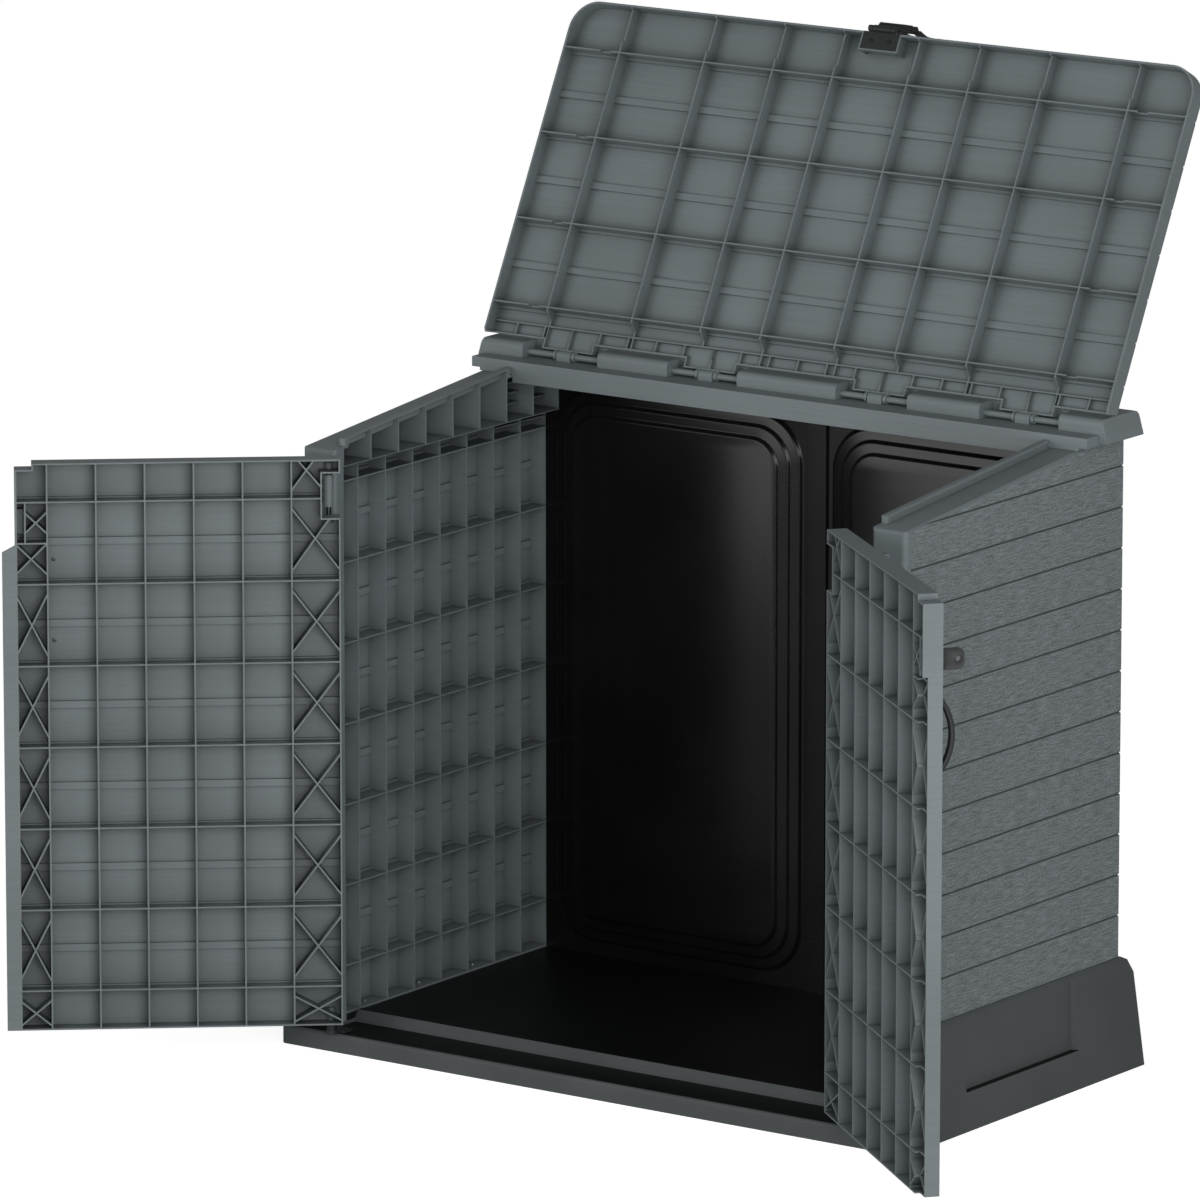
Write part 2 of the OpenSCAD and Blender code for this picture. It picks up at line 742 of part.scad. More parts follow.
// Barrel, gussets and foot of an upper door hinge
module upper_hinge_bracket() {
    barrel_z0 = notch_bottom_z + 16;
    foot_x0 = post_in_x + bracket_in;
    foot_x1 = foot_x0 + 24;
    difference() {
        union() {
            bar_z(hinge_x, hinge_y, barrel_z0, barrel_z0 + barrel_h, barrel_r);
            box([foot_x0, post_y - 4, barrel_z0 - 8], [foot_x1, post_y, barrel_z0 + barrel_h - 8]);
            for (k = [0 : 3]) {
                z = barrel_z0 + k * (barrel_h - 12) / 3;
                translate([0, 0, z]) linear_extrude(height = rib) polygon([
                    [hinge_x, hinge_y + barrel_r - 1], [hinge_x + barrel_r - 1, hinge_y],
                    [foot_x1, post_y - 3], [foot_x1, post_y - 1], [foot_x0, post_y - 1],
                    [foot_x0, post_y - 4]
                ]);
            }
        }
        bar_z(hinge_x, hinge_y, barrel_z0 - 1, barrel_z0 + barrel_h + 1, pivot_r + pin_gap);
        for (z = bracket_screw_z()) bar_y(bracket_screw_x(), post_y - 6, post_y + 1, z, 2.1);
        // Room to drive the screws past the gussets
        for (z = bracket_screw_z()) bar_y(bracket_screw_x(), post_y - 30, post_y - 4, z, 5);
    }
}

module upper_hinge_bracket_right() color(grey) upper_hinge_bracket();
module upper_hinge_bracket_left() color(grey) mirror([1, 0, 0]) upper_hinge_bracket();

module upper_bracket_screws() color(steel)
    for (side = [0, 1], z = bracket_screw_z()) mirror([side, 0, 0])
        translate([bracket_screw_x(), post_y - 4, z]) rotate([90, 0, 0]) screw_z(0, 0, 0, 10);

module lower_plate_screw_places() {
    for (dx = [-14, 14]) translate([hinge_x + dx, hinge_y + 30, 0]) children();
}

// Plate on the ledge with the eye that the door's bottom pin turns in
module lower_hinge_plate() {
    z1 = ledge_z + 8;
    difference() {
        union() {
            bar_z(hinge_x, hinge_y, ledge_z, z1, 11);
            bar_z(hinge_x, hinge_y, ledge_z, door_bottom_z - 0.4, 9);
            box([hinge_x - 11, hinge_y, ledge_z], [hinge_x + 11, hinge_y + 12, z1]);
            box([hinge_x - 22, hinge_y + 12, ledge_z], [hinge_x + 22, hinge_y + 40, ledge_z + 4]);
        }
        bar_z(hinge_x, hinge_y, ledge_z - 1, door_bottom_z, pivot_r + pin_gap);
        lower_plate_screw_places() bar_z(0, 0, ledge_z - 1, ledge_z + 6, 2.1);
    }
}

module lower_hinge_plate_right() color(black) lower_hinge_plate();
module lower_hinge_plate_left() color(black) mirror([1, 0, 0]) lower_hinge_plate();

module lower_plate_screws() color(steel)
    for (side = [0, 1]) mirror([side, 0, 0]) lower_plate_screw_places()
        screw_z(0, 0, ledge_z + 4, 9);

// Doors: drawn closed with the hinge axis at X = 0, Y = 0, the free edge towards +X and the
// inner face towards +Y, then swung open about that axis

door_rows_z = concat(
    [door_bottom_z],
    [for (k = [-2 : 2 : 12]) let (z = groove_z + k * plank)
        if (z > door_bottom_z + 30 && z < door_top_z - 30) z],
    [door_top_z]
);
door_cols_x = concat([for (i = [0 : door_cols]) -hinge_edge + i * door_col_pitch], [door_free]);

// One sloping rib from a to b, drawn in X and Z, as deep as the cells
module lattice_rib(a, b) {
    length = norm(b - a);
    angle = atan2(b[1] - a[1], b[0] - a[0]);
    translate([a[0], door_out + skin - eps, a[1]]) rotate([0, -angle, 0])
        translate([0, 0, -rib / 2]) cube([length, door_t - skin + eps, rib]);
}

module lattice(x0, x1, z0, z1) {
    lattice_rib([x0, z0], [x1, z1]);
    lattice_rib([x0, z1], [x1, z0]);
}

// Ribs that cross the cells of the door's hinge column and free-edge column
module door_lattices() {
    rise = 19;
    first = door_cols_x[0];
    second = door_cols_x[1];
    last = door_cols_x[door_cols];
    rows = len(door_rows_z) - 1;
    for (j = [0 : rows - 1]) {
        z0 = door_rows_z[j] + (j == 0 ? 8 : rise);
        z1 = door_rows_z[j + 1] - rise;
        if (j < rows - 2) {
            lattice(first, second, z0, z1);
            lattice(last, door_free, z0, z1);
        }
        // Beside the hinge notch the ribs run to the notch's walls
        if (j == rows - 2) {
            lattice_rib([first, z0], [second, z1]);
            lattice_rib([first + 20, notch_bottom_z], [second, z0]);
            lattice(last, door_free, z0, z0 + plank - rise);
            lattice(last, door_free - 18, z0 + plank, z1);
        }
        if (j == rows - 1) {
            lattice_rib([first + notch_w + 2, notch_top_z - 26], [first + 80, door_top_z - 2]);
            lattice_rib([second, notch_top_z - 32], [first + 51, door_top_z - 2]);
        }
    }
}

module door_grooves() {
    for (k = [-2 : 14]) {
        z = groove_z + k * plank - 2.5;
        if (z > door_bottom_z + 10 && z < door_top_z - 8)
            translate([-hinge_edge + skin, 0, 0]) rotate([90, 0, 90])
                linear_extrude(height = door_w - 2 * skin) polygon([
                    [door_out - 1, z - groove_w * 0.35], [door_out + groove_depth, z],
                    [door_out - 1, z + groove_w * 0.75]
                ]);
    }
}

// Door shell with its ribs, before the parts in which left and right differ
module door_body() {
    inner = hinge_in;
    floor_y = door_out + skin;
    rows = len(door_rows_z) - 1;
    difference() {
        box([-hinge_edge, door_out, door_bottom_z], [door_free, inner, door_top_z]);
        for (i = [0 : door_cols], j = [0 : rows - 1])
            box([door_cols_x[i] + (i == 0 ? rib : rib / 2), floor_y,
                    door_rows_z[j] + (j == 0 ? rib : rib / 2)],
                [door_cols_x[i + 1] - (i == door_cols ? skin : rib / 2), inner + 1,
                    door_rows_z[j + 1] - (j == rows - 1 ? rib : rib / 2)]);
    }
    difference() {
        union() {
            door_lattices();
            // Raised backing behind the grooves
            for (k = [-2 : 14]) {
                z = groove_z + k * plank - 2.5;
                if (z > door_bottom_z + 10 && z < door_top_z - 14)
                    box([-hinge_edge + eps, floor_y - eps, z - backing_down],
                        [door_free - eps, floor_y + backing, z + backing_up]);
            }
            // Walls round the hinge notch
            box([-hinge_edge + eps, floor_y - eps, notch_bottom_z - rib],
                [-hinge_edge + notch_w + rib, inner, notch_bottom_z]);
            box([-hinge_edge + eps, floor_y - eps, notch_top_z],
                [-hinge_edge + notch_w + rib, inner, notch_top_z + rib]);
            box([-hinge_edge + notch_w, floor_y - eps, notch_bottom_z],
                [-hinge_edge + notch_w + rib, inner, notch_top_z]);
            // Upright rib and mid rib beside the hasp's seat
            box([door_free - 18 - rib, floor_y - eps, groove_z + 9 * plank],
                [door_free - 18, inner, groove_z + 10 * plank]);
            box([door_cols_x[door_cols], floor_y - eps, groove_z + 9 * plank - rib / 2],
                [door_free - eps, inner, groove_z + 9 * plank + rib / 2]);
            // Seat block behind the hasp
            box([door_free - 18, floor_y - eps, hasp_z - 24],
                [door_free - eps, door_out + 20, hasp_z + 24]);
        }
        box([-big, inner, 0], [big, big, big]);
        box([-big, -big, 0], [big, door_out, big]);
        box([door_free, -big, 0], [big, big, big]);
        box([-big, -big, 0], [-hinge_edge, big, big]);
    }
}

module door_cuts() {
    door_grooves();
    // Hinge notch through the whole door
    box([-hinge_edge - 1, door_out - 1, notch_bottom_z],
        [-hinge_edge + notch_w, hinge_in + 1, notch_top_z]);
    // Lowered corner at the top of the free edge
    box([door_free - step_w, door_out - 1, door_top_z - step_drop],
        [door_free + 1, hinge_in + 1, door_top_z + 1]);
    bar_z(0, 0, door_bottom_z - 1, door_bottom_z + 26, pivot_r + 0.05);
    bar_z(0, 0, notch_bottom_z - 14, notch_top_z + 14, pivot_r + 0.05);
    hasp_screw_places() bar_y(0, -20, 20, 0, 2.1);
    handle_screw_places() bar_y(0, -20, 20, 0, 2.1);
    // Room to drive the handle's screws from inside
    handle_screw_places() bar_y(0, skin, door_t + 1, 0, 6);
}

// Round ears above and below the notch that hold the upper pin, and one for the bottom pin
module door_ears() {
    bar_z(0, 0, door_bottom_z, door_bottom_z + 28, ear_r);
    box([-ear_r, door_out + 1, door_bottom_z], [ear_r, door_out + skin + 2, door_bottom_z + 28]);
    for (z = [notch_bottom_z - 15, notch_top_z]) bar_z(0, 0, z, z + 15, ear_r);
    box([-ear_r, door_out + 1, notch_bottom_z - 15], [ear_r, door_out + skin + 2, notch_bottom_z]);
    box([-ear_r, door_out + 1, notch_top_z], [ear_r, door_out + skin + 2, notch_top_z + 15]);
}

module step_floor() {
    box([door_free - step_w - rib, door_out, door_top_z - step_drop - rib],
        [door_free, hinge_in, door_top_z - step_drop]);
    box([door_free - step_w - rib, door_out, door_top_z - step_drop - rib],
        [door_free - step_w, hinge_in, door_top_z]);
}

module left_door_shape() {
    difference() {
        union() {
            door_body();
            door_ears();
            // Lip that laps behind the other door
            along_y(hinge_in - lip_t, hinge_in, [
                [door_free - 1, door_bottom_z], [door_free + lip_w, door_bottom_z],
                [door_free + lip_w, lip_top_z - 14], [door_free - 1, lip_top_z]
            ]);
        }
        door_cuts();
    }
    step_floor();
}

module right_door_shape() {
    rebate_w = lip_w + 5;
    rebate_top = lip_top_z + 11;
    difference() {
        union() {
            door_body();
            door_ears();
        }
        door_cuts();
        box([door_free - rebate_w, hinge_in - rebate_depth, door_bottom_z - 1],
            [door_free + 1, hinge_in + 1, rebate_top]);
    }
    step_floor();
}

module on_left_hinge() {
    translate([-hinge_x, hinge_y, 0]) rotate([0, 0, -door_open_deg]) children();
}

module on_right_hinge() {
    mirror([1, 0, 0]) on_left_hinge() children();
}

module left_door_panel() color(grey) on_left_hinge() left_door_shape();
module right_door_panel() color(grey) on_right_hinge() right_door_shape();

module upper_pin() bar_z(0, 0, notch_bottom_z - 13, notch_top_z + 13, pivot_r);
module lower_pin() bar_z(0, 0, ledge_z + 1, door_bottom_z + 25, pivot_r);

module left_upper_pin() color(steel) on_left_hinge() upper_pin();
module right_upper_pin() color(steel) on_right_hinge() upper_pin();
module left_lower_pin() color(steel) on_left_hinge() lower_pin();
module right_lower_pin() color(steel) on_right_hinge() lower_pin();

// Bow handle on a door's outer face
module door_handle() {
    x = door_free - handle_back;
    zc = door_top_z - handle_drop;
    half = handle_l / 2;
    foot = 11;
    bow_r = (half * half + handle_out * handle_out) / (2 * handle_out);
    thick = 8;
    difference() {
        union() {
            intersection() {
                translate([x - 8, door_out + bow_r - handle_out, zc]) rotate([0, 90, 0])
                    difference() {
                        cylinder(h = 16, r = bow_r);
                        translate([0, 0, -1]) cylinder(h = 18, r = bow_r - thick);
                    }
                box([x - 9, door_out - handle_out - 1, zc - half], [x + 9, door_out, zc + half]);
            }
            for (side = [-1, 1])
                bar_y(x, door_out - 7, door_out, zc + side * (half - foot), foot);
        }
        handle_screw_places() bar_y(0, -20, 20, 0, 2.1);
    }
}

module handle_screw_places() {
    for (side = [-1, 1])
        translate([door_free - handle_back, door_out,
            door_top_z - handle_drop + side * (handle_l / 2 - 11)]) children();
}

// Screws driven from the inside of the door into the handle's feet
module handle_screws() {
    handle_screw_places() translate([0, skin, 0]) rotate([-90, 0, 0]) screw_z(0, 0, 0, skin + 6);
}

module left_handle() color(black) on_left_hinge() door_handle();
module right_handle() color(black) on_right_hinge() door_handle();
module left_handle_screws() color(steel) on_left_hinge() handle_screws();
module right_handle_screws() color(steel) on_right_hinge() handle_screws();

// Hasp: a flange on the door's face and a tab that stands out from it at the free edge
module hasp() {
    tab_t = 5;
    x1 = door_free - 0.5;
    half = hasp_h / 2;
    end_y = door_out - hasp_out;
    difference() {
        union() {
            box([x1 - 30, door_out - 3, hasp_z - half], [x1, door_out, hasp_z + half]);
            box([x1 - tab_t, end_y + hasp_corner_r, hasp_z - half], [x1, door_out, hasp_z + half]);
            box([x1 - tab_t, end_y, hasp_z - half + hasp_corner_r],
                [x1, door_out, hasp_z + half - hasp_corner_r]);
            for (side = [-1, 1])
                bar_x(x1 - tab_t, x1, end_y + hasp_corner_r, hasp_z + side * (half - hasp_corner_r),
                    hasp_corner_r);
        }
        bar_x(x1 - tab_t - 1, x1 + 1, door_out - padlock_out, hasp_z, padlock_r);
        hasp_screw_places() bar_y(0, -20, 20, 0, 2.1);
    }
}

module hasp_screw_places() {
    for (side = [-1, 1]) translate([door_free - 21, door_out, hasp_z + side * 12]) children();
}

module hasp_screws() {
    hasp_screw_places() translate([0, -3, 0]) rotate([90, 0, 0]) screw_z(0, 0, 0, 12);
}

module left_hasp() color(black) on_left_hinge() hasp();
module right_hasp() color(black) on_right_hinge() hasp();
module left_hasp_screws() color(steel) on_left_hinge() hasp_screws();
module right_hasp_screws() color(steel) on_right_hinge() hasp_screws();

// Lid: drawn with its rim plane at Z = 0, its rear edge along Y = 0, its front edge at
// Y = lid_l and its top skin below the rim plane, then leaned back about the hinge axis

module on_lid_hinge() {
    translate([0, lid_axis_y, lid_axis_z]) rotate([lid_rot, 0, 0])
        translate([0, lid_axis_back, lid_axis_in]) children();
}

// Lid outline with round front corners, drawn in by inset
module lid_block(inset, z0, z1) {
    x = lid_w / 2 - inset;
    y = lid_l - inset;
    r = lid_corner_r - inset;
    box([-x, 0, z0], [x, y - r, z1]);
    box([-x + r, y - r - 1, z0], [x - r, y, z1]);
    for (side = [-1, 1]) bar_z(side * (x - r), y - r, z0, z1, r);
}

// Wedge behind the slanting rear wall, set back by inset along the lid
module lid_rear_wedge(inset) {
    along_x(-half_w - 50, half_w + 50, [
        [inset, 1], [inset - 60, 1], [inset - 60, -lid_t - 1],
        [inset + lid_rear_slant, -lid_t - 1]
    ]);
}

low_z_t = -lid_t + skin + shallow_rib;

module lid_ribs() {
    for (x = lid_ribs_x, side = [-1, 1])
        box([side * x - rib / 2, 0, -lid_t + skin - eps], [side * x + rib / 2, lid_l - 1, 0]);
    for (t = lid_ribs_t)
        box([-lid_w / 2 + 1, t - rib / 2, -lid_t + skin - eps], [lid_w / 2 - 1, t + rib / 2, 0]);
    // Low rib and small cells near the hinge
    box([-lid_w / 2 + 1, low_rib_t - rib / 2, -lid_t + skin - eps],
        [lid_w / 2 - 1, low_rib_t + rib / 2, low_z_t]);
    for (i = [-10 : 10])
        box([i * small_cell - rib / 2, 4, -lid_t + skin - eps],
            [i * small_cell + rib / 2, low_rib_t, low_z_t]);
    // Raised backing behind the grooves
    for (t = concat([for (i = [0 : 2]) (lid_ribs_t[i] + lid_ribs_t[i + 1]) / 2], lid_ribs_t))
        box([-lid_w / 2 + 1, t - backing_up, -lid_t + skin - eps],
            [lid_w / 2 - 1, t + backing_down, -lid_t + skin + backing]);
}

// Everything that the closed lid has to pass over or straddle
module lid_clearances() {
    // The rear beam, under the zone next to the hinge: the ribs slope down to it
    along_x(-beam_end_x - 3, beam_end_x + 3, [
        [-1, low_z_t], [45, low_z_t], [58, 0.1], [58, 1], [-1, 1]
    ]);
    // The bead on each wall crosses the long ribs
    for (side = [0, 1]) mirror([side, 0, 0])
        box([post_in_x - 4, 55, -bead_h + 6], [post_in_x + bead_w + 4, lid_l - 40, 1]);
    // The tops of the doors cross the upright ribs
    box([-post_in_x, lid_l - 76, -6], [post_in_x, lid_l - 8, 1]);
}

module lid_grooves() {
    for (t = concat(lid_ribs_t, [for (i = [0 : 2]) (lid_ribs_t[i] + lid_ribs_t[i + 1]) / 2]))
        along_x(-lid_w / 2 - 1, lid_w / 2 + 1, [
            [t - groove_w * 0.55, -lid_t - 1], [t + groove_w * 0.55, -lid_t - 1],
            [t, -lid_t + groove_depth]
        ]);
}

function zone_middle(zone) = (zone[0] + zone[1]) / 2;

// Tabs that reach down to the hinge pins, each with two arms whose eyes turn on its pin
module lid_tabs() {
    for (zone = pin_zones) translate([zone_middle(zone), 0, 0]) {
        box([-tab_w / 2, -tab_drop, -lid_t], [tab_w / 2, lid_rear_slant, low_z_t]);
        for (side = [-1, 1]) translate([side * (clip_w / 2 + 3 + arm_w / 2), 0, 0]) {
            bar_x(-arm_w / 2, arm_w / 2, -lid_axis_back, -lid_axis_in, eye_r);
            box([-arm_w / 2, -lid_axis_back, -lid_axis_in - eye_r],
                [arm_w / 2, -tab_drop + 1, -lid_axis_in + 3]);
        }
    }
}

module lid_tab_cells() {
    for (zone = pin_zones) translate([zone_middle(zone), 0, 0])
        for (cell = [[-tab_w / 2 + rib, -rib / 2], [rib / 2, tab_w / 2 - rib]])
            box([cell[0], -tab_drop + rib, -lid_t + skin], [cell[1], low_rib_t - rib / 2, 1]);
}

latch_plate_t = 3;

module lid_panel() color(grey) on_lid_hinge() {
    boss_x = latch_plate_w / 2 + 3;
    boss_t = lid_l - latch_plate_h - 5;
    difference() {
        union() {
            difference() {
                union() {
                    difference() {
                        lid_block(0, -lid_t, 0);
                        difference() {
                            lid_block(skin, -lid_t + skin, 1);
                            lid_rear_wedge(skin);
                        }
                    }
                    difference() {
                        intersection() {
                            lid_ribs();
                            lid_block(1, -lid_t, 0);
                        }
                        lid_clearances();
                    }
                    // Boss under the latch plate, flush with the rim
                    box([-boss_x, boss_t, -lid_t + skin - eps], [boss_x, lid_l - 1, 0]);
                }
                lid_rear_wedge(0);
            }
            lid_tabs();
        }
        lid_tab_cells();
        // The rear wall between the side rims stays above the beam
        box([-beam_end_x - 3, -1, low_z_t + 0.5], [beam_end_x + 3, skin + 6, 1]);
        // Chamfered rear corners of the side rims
        along_x(-lid_w / 2 - 1, lid_w / 2 + 1, [[-1, -9], [-1, 1], [9, 1]]);
        box([-latch_plate_w / 2 - seat, lid_l - latch_plate_h - seat - 2, -latch_plate_t - 0.2],
            [latch_plate_w / 2 + seat, lid_l + 1, 1]);
        for (zone = pin_zones)
            bar_x(zone[0], zone[1], -lid_axis_back, -lid_axis_in, pin_r + pin_gap);
        lid_grooves();
        latch_screw_places() bar_z(0, 0, -20, 1, 2.1);
        // The boss is hollow from its rear
        box([-boss_x + rib, boss_t - 1, -lid_t + skin], [boss_x - rib, lid_l - skin - 12, -14]);
    }
}

// Latch

barrel_t = lid_l + latch_r - 0.2;
// Height of the latch pin above the ground when the lid is shut
latch_shut_z = lid_axis_z - (lid_axis_back + barrel_t) * sin(lid_closed_deg)
    - lid_axis_in * cos(lid_closed_deg);

module latch_screw_places() {
    for (side = [-1, 1])
        translate([side * latch_plate_w / 4, lid_l - 2 - latch_plate_h / 2, 0]) children();
}

// Plate under the lid's rim, with two knuckles for the latch pin
module latch_plate() color(black) on_lid_hinge() {
    knuckle_w = 9;
    plate_z = -latch_plate_t;
    difference() {
        union() {
            box([-latch_plate_w / 2, lid_l - latch_plate_h - 2, plate_z],
                [latch_plate_w / 2, barrel_t - latch_r + 0.8 - seat, 0]);
            for (side = [-1, 1]) {
                x0 = side * (latch_w / 2 - knuckle_w / 2) - knuckle_w / 2;
                bar_x(x0, x0 + knuckle_w, barrel_t, 0, latch_r - 0.6);
                box([x0, lid_l - 4, plate_z], [x0 + knuckle_w, barrel_t, 0]);
            }
        }
        bar_x(-latch_w, latch_w, barrel_t, 0, 2.05);
        latch_screw_places() bar_z(0, 0, -9, 1, 2.1);
    }
}

module latch_screws() color(steel) on_lid_hinge() latch_screw_places() {
    bar_z(0, 0, 0, 1.6, 4.2);
    bar_z(0, 0, -12, eps, 2);
}

module latch_pin() color(steel) on_lid_hinge()
    bar_x(-latch_w / 2, latch_w / 2, barrel_t, 0, 2);

// Strap with a raised grip and its hasp slot, drawn along +Y from its pin and then flipped
// back over the lid
module latch_strap() color(black) on_lid_hinge()
    translate([0, barrel_t, 0]) rotate([-90 + strap_lean, 0, 0]) {
    barrel_w = latch_w - 20;
    slot_w = 26;
    slot_l = hasp_h + 10;
    slot_mid = latch_shut_z - hasp_z;
    slot_start = slot_mid - slot_l / 2;
    slot_end = slot_mid + slot_l / 2;
    half = strap_t / 2;
    grip = 9;
    difference() {
        union() {
            bar_x(-barrel_w / 2, barrel_w / 2, 0, 0, latch_r - 0.8);
            intersection() {
                along_x(-latch_w / 2, latch_w / 2, [
                    [0, half], [8, half + 1], [18, grip + half], [slot_start - 14, grip + half],
                    [slot_start - 2, half], [slot_end + 2, half], [strap_l, -4],
                    [strap_l, -4 - half], [slot_end + 2, -half], [slot_start - 4, -half],
                    [slot_start - 17, grip - half], [20, grip - half], [10, -half + 1], [0, -half]
                ]);
                union() {
                    box([-barrel_w / 2, 0, -20], [barrel_w / 2, latch_r + 5, 20]);
                    box([-latch_w / 2, latch_r + 2, -20], [latch_w / 2, slot_end, 20]);
                    // Tail that narrows to the tip
                    translate([0, 0, -20]) linear_extrude(height = 40) polygon([
                        [-latch_w / 2, slot_end - 1], [latch_w / 2, slot_end - 1],
                        [latch_w / 2 - 12, strap_l], [-latch_w / 2 + 12, strap_l]
                    ]);
                }
            }
            for (i = [0 : 3])
                bar_x(-latch_w / 2 + 2, latch_w / 2 - 2, 19 + i * (slot_start - 36) / 3,
                    grip + half - 1.6, 4.5);
        }
        bar_x(-latch_w, latch_w, 0, 0, 2 + pin_gap);
        box([-slot_w / 2, slot_start, -20], [slot_w / 2, slot_end, 20]);
    }
}

floor_tray();
left_wall();
right_wall();
back_panel_left();
back_panel_right();
back_joint_strip();
rear_beam();
hinge_cover();
lid_hinge_pins();
wall_screws();
beam_screws();
upper_hinge_bracket_left();
upper_hinge_bracket_right();
upper_bracket_screws();
lower_hinge_plate_left();
lower_hinge_plate_right();
lower_plate_screws();
lid_panel();
latch_plate();
latch_screws();
latch_pin();
latch_strap();
left_door_panel();
left_upper_pin();
left_lower_pin();
left_handle();
left_handle_screws();
left_hasp();
left_hasp_screws();
right_door_panel();
right_upper_pin();
right_lower_pin();
right_handle();
right_handle_screws();
right_hasp();
right_hasp_screws();
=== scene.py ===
# %% [markdown]
# # Dressing a low garden storage shed
#
# The real object is a moulded plastic shed with a lifting lid and two front doors. Its shapes arrive packed from
# CAD as a fixed frame, with every plate, hinge and screw in its true place. This script gives each of them its
# finish, and adds the small rounded fittings that plain CAD solids leave hard-edged.

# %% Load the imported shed
import json
import math

import bmesh
import bpy
from mathutils import Matrix, Vector


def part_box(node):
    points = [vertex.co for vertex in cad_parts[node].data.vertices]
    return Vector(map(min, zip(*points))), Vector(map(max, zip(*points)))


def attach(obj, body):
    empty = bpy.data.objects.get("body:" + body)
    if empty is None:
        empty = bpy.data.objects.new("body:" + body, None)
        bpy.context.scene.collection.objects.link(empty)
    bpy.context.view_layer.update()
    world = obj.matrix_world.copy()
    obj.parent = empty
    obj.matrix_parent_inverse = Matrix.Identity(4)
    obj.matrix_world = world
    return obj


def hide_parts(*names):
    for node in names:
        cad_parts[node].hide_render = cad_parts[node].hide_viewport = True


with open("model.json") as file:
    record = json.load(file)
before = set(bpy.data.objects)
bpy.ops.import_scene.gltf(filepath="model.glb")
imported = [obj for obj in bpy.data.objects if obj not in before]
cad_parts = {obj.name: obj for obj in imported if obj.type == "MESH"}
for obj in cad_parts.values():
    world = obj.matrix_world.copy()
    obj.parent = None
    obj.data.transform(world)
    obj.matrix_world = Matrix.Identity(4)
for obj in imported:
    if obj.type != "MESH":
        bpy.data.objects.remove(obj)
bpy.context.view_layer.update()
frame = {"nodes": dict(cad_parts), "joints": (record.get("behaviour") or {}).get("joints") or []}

nodes = frame["nodes"]

# %% [markdown]
# ## Camera
#
# A product picture like this one is taken with a very long lens from far away, so that upright lines stay
# upright and the ribs hardly converge. The place, the two turns and the lens below were solved from measured
# corners of the shed. A short lens close by would show the same corners, but bend every row of ribs.

# %% Camera
LOOKS_DOWN = 12.168
LOOKS_ROUND = 35.489
lens_data = bpy.data.cameras.new("long_lens")
lens_data.sensor_width = 36.0
lens_data.lens = 315.66
lens_data.clip_end = 120.0
camera = bpy.data.objects.new("long_lens", lens_data)
camera.location = (11.2382, -16.1291, 5.1331)
camera.rotation_euler = (math.radians(90.0 - LOOKS_DOWN), 0.0, math.radians(LOOKS_ROUND))
bpy.context.scene.collection.objects.link(camera)
bpy.context.scene.camera = camera
print(f"camera {camera.location.length:.1f} m away")

# %% [markdown]
# ## Shader maths
#
# A finish is mostly arithmetic on noise: stretch it, mask it, add it up. Wiring Math nodes by hand hides that
# arithmetic, so one small class wraps a socket and lets Python's own signs add the nodes. One method adds every
# other kind of node: its settings come first, because they decide which sockets the node has.

# %% A socket that can be added and multiplied
class Wire:
    """One output socket of a finish. Signs between wires and numbers add Math nodes."""

    def __init__(self, finish, socket):
        self.finish = finish
        self.socket = socket

    def maths(self, operation, first, second):
        return self.finish.node("ShaderNodeMath", {0: first, 1: second}, operation=operation)

    def __add__(self, other):
        return self.maths("ADD", self, other)

    def __sub__(self, other):
        return self.maths("SUBTRACT", self, other)

    def __rsub__(self, other):
        return self.maths("SUBTRACT", other, self)

    def __mul__(self, other):
        return self.maths("MULTIPLY", self, other)

    __radd__ = __add__
    __rmul__ = __mul__


print("wires can be added, subtracted and multiplied")

# %% [markdown]
# ## A finish
#
# A material is a tree of nodes that ends in one output. The class below starts such a tree empty and gives the
# few steps that every plastic here repeats: where a point lies, which way it looks, noise, a soft threshold and a
# blend of two colours. Copying whole trees would work too, but then one change has to be made in each of them.

